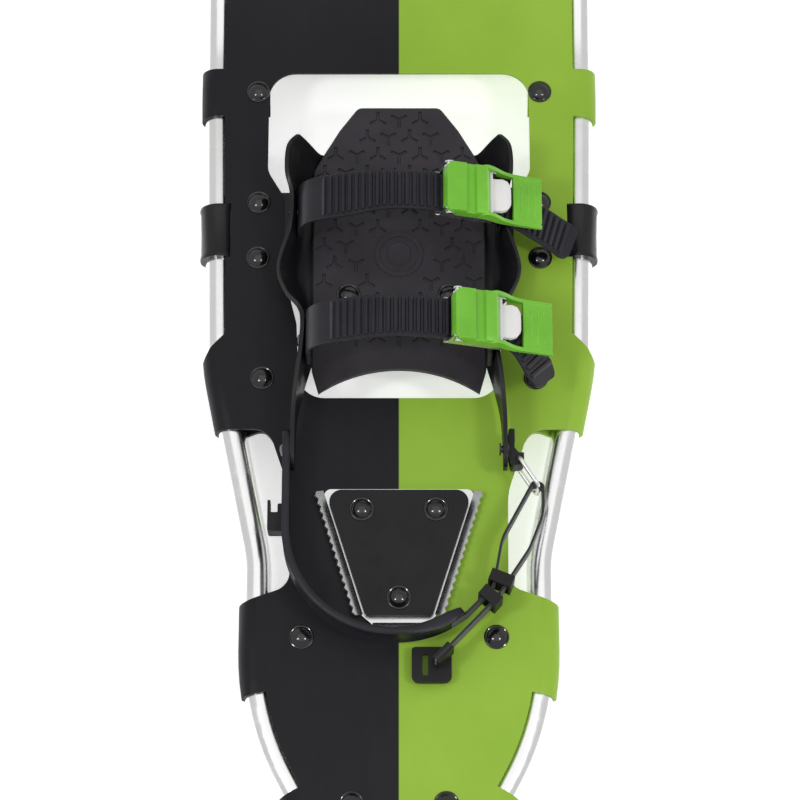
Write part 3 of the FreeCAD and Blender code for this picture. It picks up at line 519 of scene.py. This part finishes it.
def rounded(corners, steps=6):
    """A closed outline of (a, b) pairs through corners (a, b, radius)."""
    found = []
    count = len(corners)
    for i, (x, y, r) in enumerate(corners):
        here = Vector((x, y))
        before = Vector(corners[i - 1][:2])
        after = Vector(corners[(i + 1) % count][:2])
        if r <= 0:
            found.append((x, y))
            continue
        a = (before - here).normalized()
        b = (after - here).normalized()
        half = math.acos(max(-1.0, min(1.0, a.dot(b)))) / 2
        back = r / math.tan(half)
        hub = here + (a + b).normalized() * (r / math.sin(half))
        start = here + a * back - hub
        end = here + b * back - hub
        angle = start.angle_signed(end) if start.length and end.length else 0.0
        for j in range(steps + 1):
            rot = Matrix.Rotation(-angle * j / steps, 2)
            p = hub + rot @ start
            found.append((p.x, p.y))
    return found


def upright(point, up):
    """A placement with Z along up at a point."""
    return Matrix.Translation(point) @ up.to_track_quat("Z", "Y").to_matrix().to_4x4()


def piece(name, shape, slot, body, replaced, angle=35.0, bevel=0.0, segments=2):
    """A new visual piece from points in mm, riding on a body and standing for CAD nodes."""
    mesh = bpy.data.meshes.new(name)
    mesh.from_pydata([p * MM for p in shape[0]], [], shape[1])
    work = bmesh.new()
    work.from_mesh(mesh)
    bmesh.ops.recalc_face_normals(work, faces=work.faces)
    work.to_mesh(mesh)
    work.free()
    for face in mesh.polygons:
        face.use_smooth = True
    mesh.set_sharp_from_angle(angle=math.radians(angle))
    obj = bpy.data.objects.new(name, mesh)
    scene.collection.objects.link(obj)
    paint(obj, slot)
    if bevel:
        edge = obj.modifiers.new("edge", "BEVEL")
        edge.width = bevel * MM
        edge.segments = segments
        edge.limit_method = "ANGLE"
        edge.angle_limit = math.radians(30)
    if body:
        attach(obj, body)
    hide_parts(*replaced)
    return obj


# ---------------------------------------------------------------- frame tube
side = flat_path(
    [
        (8.6, -373.0, 0),
        (8.6, -345.0, 60.0),
        (79.4, -212.0, 150.0),
        (79.4, -121.7, 90.0),
        (103.2, -6.7, 120.0),
        (107.5, 165.0, 400.0),
        (107.5, 184.9, 0),
    ],
    TUBE_Z,
)
flat_length = total(side)
rise = Run(*frame_at(side, flat_length), 0.0, 180.0, 20.0, True)
nose_side = Run(*rise.frame(rise.length), 0.0, 160.0, 35.0)
nose_start = nose_side.frame(nose_side.length)
nose_r = nose_start[0].x / math.cos(math.radians(35.0))
nose_front = Run(*nose_start, 0.0, nose_r, 55.0)
rail = side + [rise, nose_side, nose_front]
rail_length = total(rail)


def ring_about(where, along, up, radius, steps=48):
    across = along.cross(up)
    found = []
    for i in range(steps):
        a = 2 * math.pi * i / steps
        found.append(where + across * (radius * math.cos(a)) + up * (radius * math.sin(a)))
    return found


TUBE_BORE = TUBE_R - 1.4
half_rings = [ring_about(*frame_at(rail, s), TUBE_R) for s in spread(0.4, rail_length, 3.0)]
mouth = [
    ring_about(*frame_at(rail, 18.0), TUBE_BORE),
    ring_about(*frame_at(rail, 0.4), TUBE_BORE),
    ring_about(*frame_at(rail, 0.0), TUBE_BORE + 0.4),
    ring_about(*frame_at(rail, 0.0), TUBE_R - 0.4),
]
right_rings = mouth + half_rings
left_rings = []
for ring in reversed(right_rings[:-1]):
    left_rings.append([Vector((-p.x, p.y, p.z)) for p in ring])
piece(
    "rail_tube", loft(right_rings + left_rings), "anodised_tube", "frame", ["frame_tube"], 50.0
)

# ---------------------------------------------------------------- domed rivets
DOME = [(0.05, 3.3), (1.6, 3.15), (3.2, 2.65), (4.5, 1.9), (5.3, 1.15), (5.6, 0.75)]
FLANGE = [(5.9, 0.6), (6.3, 0.75), (6.8, 0.6), (7.0, 0.25), (7.0, 0.0)]


def domed(grip, foot):
    """A dome in a flange ring, its shank and the clenched foot below."""
    shank = [(2.4, 0.0), (2.4, -grip), (foot, -grip), (foot, -grip - 1.0), (foot - 0.5, -grip - 1.4)]
    return lathe(DOME + FLANGE + shank + [(0.05, -grip - 1.4)])


def deck_spot(s, across):
    where, ahead, above = frame_at(rail, s)
    return where + ahead.cross(above) * across + above * (TUBE_R + 1.9), above


def tab_middle(y0, y1):
    return (distance_to_y(side, y0) + distance_to_y(side, y1)) / 2


nose_base = flat_length + rise.length
spots = [
    (Vector((78.3, -15.6, DECK_TOP)), UP),
    (Vector((54.0, -168.5, DECK_TOP)), UP),
    deck_spot(tab_middle(-292.0, -254.0), -24.0),
    deck_spot(tab_middle(150.0, 181.0), -24.0),
    deck_spot(nose_base + 49.0, -24.0),
]
spots += [(Vector((-p.x, p.y, p.z)), Vector((-u.x, u.y, u.z))) for p, u in spots]
spots.append(deck_spot(rail_length - 0.01, -24.0))
rivet = domed(3.6, 3.5)
piece(
    "deck_rivet_domes",
    joined([placed(rivet, upright(p, u)) for p, u in spots]),
    "black_rivet",
    "frame",
    ["deck_rivets"],
)


def standing(name, shape, places, body, replaced, slot="black_rivet"):
    """Copies of one upright shape at several points."""
    parts = [placed(shape, Matrix.Translation(Vector(p))) for p in places]
    return piece(name, joined(parts), slot, body, replaced)


band_low, band_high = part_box("band_rivets")
band_grip = DECK_TOP - band_low.z / MM - 1.4
standing(
    "band_rivet_domes",
    domed(band_grip, 5.0),
    [(x, PIVOT_Y + dy, DECK_TOP) for x in (-82.0, 82.0) for dy in (-17.5, 17.5)],
    "frame",
    ["band_rivets"],
)
heel_low, heel_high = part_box("heel_rivets")
heel_top = heel_high.z / MM - 3.2
standing(
    "heel_rivet_domes",
    domed(heel_top - heel_low.z / MM - 1.4, 5.0),
    [(-20.8, -96.0, heel_top), (20.8, -96.0, heel_top), (0.0, -147.3, heel_top)],
    "frame",
    ["heel_rivets"],
)
plate_low, plate_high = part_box("plate_rivets")
plate_top = plate_high.z / MM - 3.2
standing(
    "plate_rivet_domes",
    domed(plate_top - plate_low.z / MM - 1.4, 5.0),
    [(x, y, plate_top) for x, y in ((-30, 92), (30, 92), (-29, 33.5), (29, 33.5))],
    "binding",
    ["plate_rivets"],
)

# ---------------------------------------------------------------- foot plate with its star tread
PLATE_HALF = [
    (24.0, 153.0, 5.0),
    (35.0, 138.0, 6.0),
    (50.0, 112.0, 10.0),
    (50.0, -12.0, 12.0),
    (46.0, -26.0, 0.0),
]
BOSS_Y = 59.0
RIM = 0.8


def plate_outline():
    """Front arch, straight sides and a round cut-out at the rear, as one closed line."""
    corners = list(PLATE_HALF)
    for i in range(1, 24):
        x = 46.0 - i * 92.0 / 24
        corners.append((x, -91.5 + math.sqrt(80.0**2 - x * x), 0.0))
    corners += [(-x, y, r) for x, y, r in reversed(PLATE_HALF)]
    return rounded(corners)


def star(x, y, turn, arm=5.4, half=1.05):
    """A three-armed star with blunt ends."""
    found = []
    for k in range(3):
        a = math.radians(turn + 120 * k)
        out = Vector((math.cos(a), math.sin(a)))
        over = Vector((-out.y, out.x))
        for p in (out * arm - over * half, out * arm + over * half):
            found.append((x + p.x, y + p.y))
        b = a + math.radians(60)
        found.append((x + math.cos(b) * half * 1.16, y + math.sin(b) * half * 1.16))
    return found


def star_spots():
    found = []
    for row in range(13):
        y = 145.0 - row * 11.5
        for column in range(-4, 5):
            x = column * 12.4 + (6.2 if row % 2 else 0.0)
            reach = 44.0 if y < 110 else 44.0 - (y - 110) * 0.56
            clear = [(0.0, BOSS_Y, 20.5), (30, 92, 12), (-30, 92, 12), (29, 33.5, 12), (-29, 33.5, 12)]
            if abs(x) > reach or any(math.dist((x, y), (a, b)) < r for a, b, r in clear):
                continue
            if math.dist((x, y), (0.0, -91.5)) < 88.0:
                continue
            found.append((x, y, 90.0 if (row + column) % 2 else -90.0))
    return found


def tread_plate(low, top):
    """The plate as one skin: chamfered rim, star recesses and a plain underside."""
    recess = 1.1
    work = bmesh.new()

    def ring(outline, z):
        corners = [work.verts.new((x * MM, y * MM, z * MM)) for x, y in outline]
        return corners, [work.edges.new((corners[i - 1], corners[i])) for i in range(len(corners))]

    def wall(upper, lower):
        for i in range(len(upper)):
            work.faces.new((upper[i - 1], upper[i], lower[i], lower[i - 1]))

    outline = plate_outline()
    inner = []
    count = len(outline)
    for i in range(count):
        a = Vector(outline[i - 1])
        b = Vector(outline[(i + 1) % count])
        over = (b - a).normalized()
        x, y = outline[i]
        inner.append((x + over.y * RIM, y - over.x * RIM))
    rim, top_edges = ring(inner, top)
    shoulder, _ = ring(outline, top - RIM)
    foot, foot_edges = ring(outline, low)
    wall(rim, shoulder)
    wall(shoulder, foot)
    for x, y, turn in star_spots():
        mouth_ring, mouth_edges = ring(star(x, y, turn), top)
        floor_ring, _ = ring(star(x, y, turn, 5.1, 0.8), top - recess)
        wall(mouth_ring, floor_ring)
        work.faces.new(floor_ring)
        top_edges += mouth_edges
    bmesh.ops.triangle_fill(work, use_beauty=True, use_dissolve=False, edges=top_edges)
    bmesh.ops.triangle_fill(work, use_beauty=True, use_dissolve=False, edges=foot_edges)
    work.verts.index_update()
    points = [v.co / MM for v in work.verts]
    faces = [tuple(v.index for v in f.verts) for f in work.faces]
    work.free()
    return points, faces


foot_low, foot_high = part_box("foot_plate")
plate_low_z = foot_low.z / MM
plate_top_z = foot_high.z / MM - 0.9
BOSS_RING = [(11.3, -0.4), (11.3, 0.7), (11.6, 0.9), (13.7, 0.9), (14.0, 0.6), (14.0, -0.4)]
BOSS_DISC = [(0.05, 0.55), (5.6, 0.6), (6.6, 0.9), (7.0, 0.5), (7.0, -0.4), (0.05, -0.4)]
boss_place = Matrix.Translation(Vector((0, BOSS_Y, plate_top_z)))
piece(
    "tread_plate",
    joined(
        [
            tread_plate(plate_low_z, plate_top_z),
            placed(turned_ring(BOSS_RING), boss_place),
            placed(lathe(BOSS_DISC, 64), boss_place),
        ]
    ),
    "grey_plastic",
    "binding",
    ["foot_plate"],
    30.0,
)

# ---------------------------------------------------------------- ladder straps
def strap_path(strap, tail):
    """The ladder strap's inner line: up from the left wing, over the boot, down to its tail."""
    bend_r = 18.0
    a = math.radians(SLOPE)
    start_x = strap["wing"] - WING_T - 0.3 - STRAP_T
    reach = start_x - bend_r * (1 - math.sin(a)) - strap["r"] * math.sin(a)
    lead = reach / math.cos(a)
    climb = bend_r * math.cos(a) + lead * math.sin(a) + strap["r"] * (1 - math.cos(a))
    low = strap["rivet"] - 8.0
    return chain(
        Vector((-start_x, strap["y"], low)),
        UP,
        Vector((-1, 0, 0)),
        [
            strap["apex"] - climb - low,
            (bend_r, -(90.0 - SLOPE)),
            lead,
            (strap["r"], -2 * SLOPE),
            36.0,
        ]
        + tail,
    )


def ease(value):
    value = max(0.0, min(1.0, value))
    return value * value * (3 - 2 * value)


def ladder(name, strap, tail, drop, smooth_end, broad, replaced):
    """The ribbed strap as one closed skin; its free tail falls back towards the heel."""
    path = strap_path(strap, tail)
    length = total(path)
    free = length - sum(step if not isinstance(step, tuple) else 14.0 for step in tail)
    rings = []
    crown = strap["r"] * math.radians(2 * SLOPE)
    for s in spread(0.0, length, 0.5):
        where, along, up = frame_at(path, s)
        late = max(0.0, (s - free) / (length - free))
        where = where + Vector((0, drop * late**1.6, 0))
        along = (along + Vector((0, drop * 1.6 * late**0.6 / (length - free), 0))).normalized()
        across = along.cross(up).normalized()
        phase = (s - smooth_end) / RIB_PITCH % 1.0
        rib = ease((0.36 - abs(phase - 0.5)) / 0.16)
        rib *= ease((s - smooth_end) / 3.0) * ease((length - 4.0 - s) / 1.0)
        top = STRAP_T + RIB_H * rib
        tip = max(0.0, min(1.0, (length - s) / 6.0))
        butt = min(1.0, s / 8.0)
        half = STRAP_W / 2 + broad * ease((free - 36.0 - crown * 0.4 - s) / 30.0)
        wide = half * (0.62 + 0.38 * math.sqrt(1 - (1 - tip) ** 2))
        wide *= 0.7 + 0.3 * math.sqrt(1 - (1 - butt) ** 2)
        inner = wide - 1.9
        profile = [
            (-wide + 0.7, 0.0),
            (wide - 0.7, 0.0),
            (wide, 0.7),
            (wide, STRAP_T - 0.5),
            (wide - 0.5, STRAP_T),
            (inner + 0.5, STRAP_T),
            (inner, top),
            (-inner, top),
            (-inner - 0.5, STRAP_T),
            (-wide + 0.5, STRAP_T),
            (-wide, STRAP_T - 0.5),
            (-wide, 0.7),
        ]
        rings.append([where + across * a + up * h for a, h in profile])
    body = "toe_strap" if strap is TOE else "instep_strap"
    return piece(name, loft(rings), "strap_urethane", body, replaced, 32.0)


ladder(
    "toe_ladder",
    TOE,
    [(45.0, -16.0), 31.0, (40.0, 12.0), 3.0],
    -15.0,
    34.0,
    1.4,
    ["toe_ladder_strap"],
)
ladder(
    "instep_ladder",
    INSTEP,
    [(30.0, -25.0), 18.0],
    -26.0,
    42.0,
    0.8,
    ["instep_ladder_strap"],
)

# ---------------------------------------------------------------- buckles
LEVER_HALF = STRAP_W / 2 + 3.2
LEVER_TOP = [
    (-15.1, 9.0),
    (-14.3, 12.2),
    (-12.2, 13.0),
    (-10.8, 14.2),
    (-4.8, 14.7),
    (-3.4, 14.4),
    (-2.5, 12.4),
    (1.6, 12.4),
    (2.7, 14.6),
    (4.2, 15.2),
    (8.6, 15.0),
    (10.6, 13.4),
    (11.3, 11.0),
    (11.3, 6.6),
    (-15.1, 6.6),
]
ARM_TOP = [(6.0, 12.0), (9.5, 14.4), (15.0, 12.6), (22.0, 8.6), (30.0, 6.9), (45.5, 6.4)]
ARM_LOW = [(45.5, 4.2), (30.0, 4.0), (21.0, 4.4), (14.0, 6.2), (10.0, 7.0), (6.0, 7.4)]


def seat(strap):
    """Where a buckle sits: the middle of the strap's outboard slope, tilted with it."""
    a = math.radians(SLOPE)
    x = strap["r"] * math.sin(a) + 18.0 * math.cos(a)
    z = strap["apex"] - strap["r"] * (1 - math.cos(a)) - 18.0 * math.sin(a)
    return Matrix.Translation(Vector((x, strap["y"], z))) @ Matrix.Rotation(a, 4, "Y")


def lever_shape():
    rings = []
    for v, u_in, w_in in (
        (-1.0, 3.6, 2.4),
        (-0.97, 2.6, 0.9),
        (-0.84, 0.6, 0.2),
        (-0.78, 0.0, 0.0),
        (0.78, 0.0, 0.0),
        (0.84, 0.6, 0.2),
        (0.97, 2.6, 0.9),
        (1.0, 3.6, 2.4),
    ):
        ring = []
        for u, w in LEVER_TOP:
            u = max(-15.1 + u_in, min(11.3 - u_in * 0.7, u))
            w = min(w, 15.2 - w_in)
            ring.append(Vector((u, v * LEVER_HALF, w)))
        rings.append(ring)
    block = loft(rings)
    arms = []
    outline = [(p.x, p.y) for p in smooth([Vector(p) for p in ARM_TOP], 18)]
    outline += [(p.x, p.y) for p in smooth([Vector(p) for p in ARM_LOW], 18)]
    for side_sign in (-1, 1):
        inner = side_sign * (LEVER_HALF - 1.8)
        outer = side_sign * (LEVER_HALF + 0.3)
        arms.append(prism(outline, min(inner, outer), max(inner, outer), "xz"))
    end = prism(
        rounded([(28.0, -15.2, 0), (45.5, -15.2, 4.0), (45.5, 15.2, 4.0), (28.0, 15.2, 0)]), 4.2, 6.4
    )
    ribs = []
    for u in (33.0, 37.0, 41.0):
        ribs.append(prism([(u - 0.5, -10), (u + 0.5, -10), (u + 0.5, 10), (u - 0.5, 10)], 6.0, 6.9))
    return joined([block] + arms + [end] + ribs)


# height share across the release tab, from its left edge to its right
TAB_CROWN = [(-1, 0.3), (-0.94, 0.8), (-0.8, 1.0), (0, 1.06), (0.8, 1.0), (0.94, 0.8), (1, 0.3)]


def tab_shape():
    """The release tab: a ramp that swells to a rounded thumb end, on its axle."""
    rings = []
    for u, low, high in (
        (12.2, 7.4, 8.2),
        (13.0, 6.9, 9.0),
        (17.0, 6.8, 9.7),
        (20.0, 6.8, 10.9),
        (22.8, 6.9, 11.2),
        (24.8, 7.4, 10.3),
        (25.5, 8.0, 9.2),
    ):
        reach = 10.4 if u < 20 else 10.4 * math.sqrt(max(0.1, 1 - ((u - 20) / 6.2) ** 2))
        ring = []
        for v, share in TAB_CROWN:
            ring.append(Vector((u, v * reach, low + (high - low) * share)))
        ring.append(Vector((u, reach * 0.97, low)))
        ring.append(Vector((u, -reach * 0.97, low)))
        rings.append(ring)
    half = STRAP_W / 2 + 1.3
    axle = lathe([(0.05, -half), (1.2, -half), (1.2, half), (0.05, half)], 20)
    lie = Matrix.Translation(Vector((13.5, 0, 8.3))) @ Matrix.Rotation(math.radians(90), 4, "X")
    return joined([loft(rings), placed(axle, lie)])


for name, strap in (("toe", TOE), ("instep", INSTEP)):
    piece(
        name + "_ratchet_lever",
        placed(lever_shape(), seat(strap)),
        "green_plastic",
        name + "_lever",
        [name + "_lever"],
        35.0,
        0.5,
        3,
    )
    piece(
        name + "_thumb_tab",
        placed(tab_shape(), seat(strap)),
        "white_plastic",
        name + "_release",
        [name + "_release_tab"],
        40.0,
        0.3,
    )

# ---------------------------------------------------------------- side wings
# each row goes from the flange under the foot plate out and up to the rim, at one y
WING_ROWS = [
    (124.0, (30, 41.1), (44, 41.3), (48.0, 45.5), (51.5, 55), (55.0, 64), (58.5, 71.5)),
    (114.0, (30, 41.1), (45, 41.3), (51.0, 46.0), (56.0, 56), (60.0, 68), (63.5, 78.0)),
    (99.0, (30, 41.1), (47, 41.2), (55.0, 45.0), (59.2, 55), (61.2, 67), (64.5, 76.5)),
    (86.0, (30, 41.1), (49, 41.2), (58.0, 45.0), (60.1, 54), (60.1, 64), (61.6, 73.0)),
    (66.0, (30, 41.1), (50, 41.2), (58.0, 44.8), (60.1, 54), (60.1, 64), (62.6, 72.0)),
    (47.0, (30, 41.1), (51, 41.2), (58.6, 43.8), (62.5, 49), (66.0, 54.5), (69.4, 58.5)),
    (29.0, (30, 41.1), (50, 41.4), (55.6, 44.2), (58.2, 51), (61.0, 58), (64.5, 63.5)),
    (12.0, (47, 42.6), (50, 43.6), (53.0, 48.0), (54.1, 56), (54.1, 67), (55.2, 76.5)),
    (-8.0, (50, 45.5), (52, 47.5), (53.6, 52.0), (54.1, 59), (54.1, 68), (55.2, 76.5)),
    (-25.0, (54.6, 50), (55.0, 52.5), (55.6, 57.0), (56.0, 62), (56.6, 68), (57.6, 73.5)),
    (-44.0, (58.5, 51.0), (58.7, 54), (58.9, 57.5), (59.0, 61.5), (59.1, 65.5), (59.2, 69.5)),
    (-64.0, (59.5, 51.0), (59.5, 54.5), (59.5, 58), (59.5, 62), (59.5, 65.5), (59.5, 69.0)),
    (-73.0, (59.5, 53.0), (59.5, 55.5), (59.5, 58.5), (59.5, 61.5), (59.5, 64.5), (59.5, 67.0)),
    (-76.5, (59.5, 57.0), (59.5, 58.2), (59.5, 59.4), (59.5, 60.6), (59.5, 61.8), (59.5, 63.0)),
]


def wing_points():
    rows = []
    for y, *section in WING_ROWS:
        rows.append(smooth([Vector((x, y, z)) for x, z in section], 20))
    columns = [smooth([row[j] for row in rows], 90) for j in range(20)]
    return [columns[j][i] for i in range(90) for j in range(20)]


def wing(name, sign, replaced):
    points = [Vector((sign * p.x, p.y, p.z)) for p in wing_points()]
    faces = []
    for i in range(89):
        for j in range(19):
            a = i * 20 + j
            faces.append((a, a + 1, a + 21, a + 20))
    obj = piece(name, (points, faces), "wing_urethane", "binding", replaced, 180.0)
    skin = obj.modifiers.new("skin", "SOLIDIFY")
    skin.thickness = 2.4 * MM
    skin.offset = 0.0
    skin.use_even_offset = True
    rim = obj.modifiers.new("rim", "BEVEL")
    rim.width = 0.8 * MM
    rim.segments = 3
    rim.limit_method = "ANGLE"
    rim.angle_limit = math.radians(60)
    return obj


wing("side_wing_left", -1, ["wing_left"])
wing("side_wing_right", 1, ["wing_right"])


def wing_rivet(sign, x, y, z, reach):
    """A low domed head on the wing's outside, its shank and a flat foot inside."""
    profile = [(0.05, 2.4), (1.4, 2.25), (2.8, 1.8), (3.8, 1.1), (4.3, 0.4), (4.3, 0.0)]
    profile += [(2.1, 0.0), (2.1, -reach), (3.6, -reach), (3.6, -reach - 0.8), (0.05, -reach - 0.8)]
    return placed(lathe(profile, 32), upright(Vector((sign * x, y, z)), Vector((sign, 0, 0))))


WING_GRIP = WING_T + 0.3 + STRAP_T
strap_heads = []
for sign in (-1, 1):
    for strap in (TOE, INSTEP):
        spot = (strap["wing"], strap["y"], strap["rivet"])
        strap_heads.append(wing_rivet(sign, *spot, WING_GRIP))
piece("strap_rivet_heads", joined(strap_heads), "black_rivet", "binding", ["strap_rivets"])

# ---------------------------------------------------------------- pivot band
def band_half(sign):
    """One half of the band: a flared sleeve round the rail and the tongue to the middle."""
    where, along, up = frame_at(side, distance_to_y(side, PIVOT_Y))
    rings = []
    for offset, outer in (
        (-16.5, 11.0),
        (-15.2, 11.3),
        (-13.0, 10.7),
        (0, 10.5),
        (13.0, 10.7),
        (15.2, 11.3),
        (16.5, 11.0),
    ):
        rings.append(ring_about(where + along * offset, along, up, outer))
    for offset in (16.5, -16.5):
        rings.append(ring_about(where + along * offset, along, up, TUBE_R + 0.1))
    sleeve = loft(rings, looped=True)
    tongue = []
    stops = [99.6, 92, 84, 76, 70] + [67.6 - 0.8 * i for i in range(12)] + [56, 50, 40, 25, 0.1]
    for x in stops:
        ring = []
        for y, z in rounded([(-25, 35.6, 1.2), (25, 35.6, 1.2), (25, 40.0, 1.2), (-25, 40.0, 1.2)], 3):
            ring.append(Vector((x, PIVOT_Y + y, z)))
        tongue.append(dense(ring))
    shape = joined([sleeve, loft(tongue)])
    return shape if sign > 0 else mirrored(shape)


def dense(ring):
    """The same closed outline with its long edges divided."""
    found = []
    for i, p in enumerate(ring):
        after = ring[(i + 1) % len(ring)]
        count = max(1, int((after - p).length / 5.0))
        found += [p.lerp(after, j / count) for j in range(count)]
    return found


for name, sign, replaced in (
    ("pivot_strap_left", -1, ["pivot_band_left", "pivot_band_center"]),
    ("pivot_strap_right", 1, ["pivot_band_right", "pivot_band_center"]),
):
    band = piece(name, band_half(sign), "band_urethane", None, replaced, 40.0)
    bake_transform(band)

# ---------------------------------------------------------------- heel strap
def heel_strap_rings():
    line = Run(Vector((-62.8, -55.0, 0)), Vector((0, -1, 0)), UP, 57.0)
    arc = Run(*line.frame(57.0), 0.0, 60.0, 129.0)
    path = [line, arc]
    length = total(path)
    rings = []
    for s in spread(0.0, length, 2.0):
        where, along, up = frame_at(path, s)
        across = along.cross(up)
        tip = min(1.0, (length - s) / 9.0)
        butt = min(1.0, s / 9.0)
        swell = ease((s - length + 42.0) / 30.0)
        high = (10.0 - 3.2 * swell) * (0.45 + 0.55 * math.sqrt(max(0.0, 1 - (1 - tip) ** 2)))
        high *= 0.55 + 0.45 * math.sqrt(max(0.0, 1 - (1 - butt) ** 2))
        web = 1.35 + 1.5 * swell
        bead = 2.1 + 1.3 * swell
        ends = 0.55 + 0.45 * tip
        profile = []
        for share, thick in (
            (-1.0, 0.25), (-0.98, 0.7), (-0.92, 1.0), (-0.84, 0.95), (-0.76, 0.0), (0.0, 0.0),
            (0.76, 0.0), (0.84, 0.95), (0.92, 1.0), (0.98, 0.7), (1.0, 0.25),
        ):
            half = bead * thick if abs(share) > 0.8 else web
            profile.append((half * ends, share * high))
        ring = [where + across * a + up * (59.5 + b) for a, b in profile]
        ring += [where - across * a + up * (59.5 + b) for a, b in reversed(profile)]
        rings.append(ring)
    return rings


piece(
    "heel_band", loft(heel_strap_rings()), "strap_urethane", "heel_strap", ["heel_strap"], 50.0
)
arm_heads = [wing_rivet(sign, 64.3 if sign < 0 else 61.0, -65.0, 60.0, 4.0) for sign in (-1, 1)]
piece("arm_rivet_heads", joined(arm_heads), "black_rivet", "binding", ["arm_rivets"])

# ---------------------------------------------------------------- floor, light, camera
FLOOR_HALF = 6.0


def quad(name, half, z):
    mesh = bpy.data.meshes.new(name)
    corners = [(-half, -half, z), (half, -half, z), (half, half, z), (-half, half, z)]
    mesh.from_pydata(corners, [], [(0, 1, 2, 3)])
    obj = bpy.data.objects.new(name, mesh)
    scene.collection.objects.link(obj)
    return obj


floor = quad("floor", FLOOR_HALF, -0.0006)
floor_shader = Shader("floor_paper")
floor_shader.set(Roughness=0.9, Specular_IOR_Level=0.1)
floor_shader.set(Emission_Color=(1.0, 1.0, 1.0, 1.0), Emission_Strength=0.45)
floor_shader.colour(
    floor_shader.ramp(floor_shader.noise(3.0), [(0.3, (0.9, 0.9, 0.9, 1)), (0.7, (0.93, 0.93, 0.93, 1))])
)
floor.data.materials.append(floor_shader.material)

world = bpy.data.worlds.new("studio")
world.use_nodes = True
world.node_tree.nodes["Background"].inputs["Color"].default_value = (1.0, 1.0, 1.0, 1.0)
world.node_tree.nodes["Background"].inputs["Strength"].default_value = 0.62
scene.world = world

AIM = Vector((0.0006, -0.029, 0.0419))
ELEVATION = math.radians(70.0)
DISTANCE = 1.6
FOCAL = 126.3
away = Vector((0.0, -math.cos(ELEVATION), math.sin(ELEVATION)))

camera_data = bpy.data.cameras.new("camera")
camera_data.lens = FOCAL
camera_data.sensor_width = 36.0
camera = bpy.data.objects.new("camera", camera_data)
scene.collection.objects.link(camera)
camera.location = AIM + away * DISTANCE
camera.rotation_mode = "QUATERNION"
camera.rotation_quaternion = (-away).to_track_quat("-Z", "Y")
scene.camera = camera


def softbox(name, azimuth, elevation, distance, size, power):
    """An area light aimed at the object; azimuth 0 is behind the tail, 90 on the right."""
    a, e = math.radians(azimuth), math.radians(elevation)
    back = Vector((math.sin(a) * math.cos(e), -math.cos(a) * math.cos(e), math.sin(e)))
    data = bpy.data.lights.new(name, "AREA")
    data.shape = "RECTANGLE"
    data.size, data.size_y = size
    data.energy = power
    light = bpy.data.objects.new(name, data)
    scene.collection.objects.link(light)
    light.location = AIM + back * distance
    light.rotation_mode = "QUATERNION"
    light.rotation_quaternion = (-back).to_track_quat("-Z", "Y")
    return light


softbox("key_left", -62.0, 57.0, 1.7, (0.16, 0.3), 5.0)
softbox("key_right", 62.0, 57.0, 1.7, (0.16, 0.3), 5.0)
softbox("top", 0.0, 88.0, 2.4, (2.6, 2.6), 9.0)
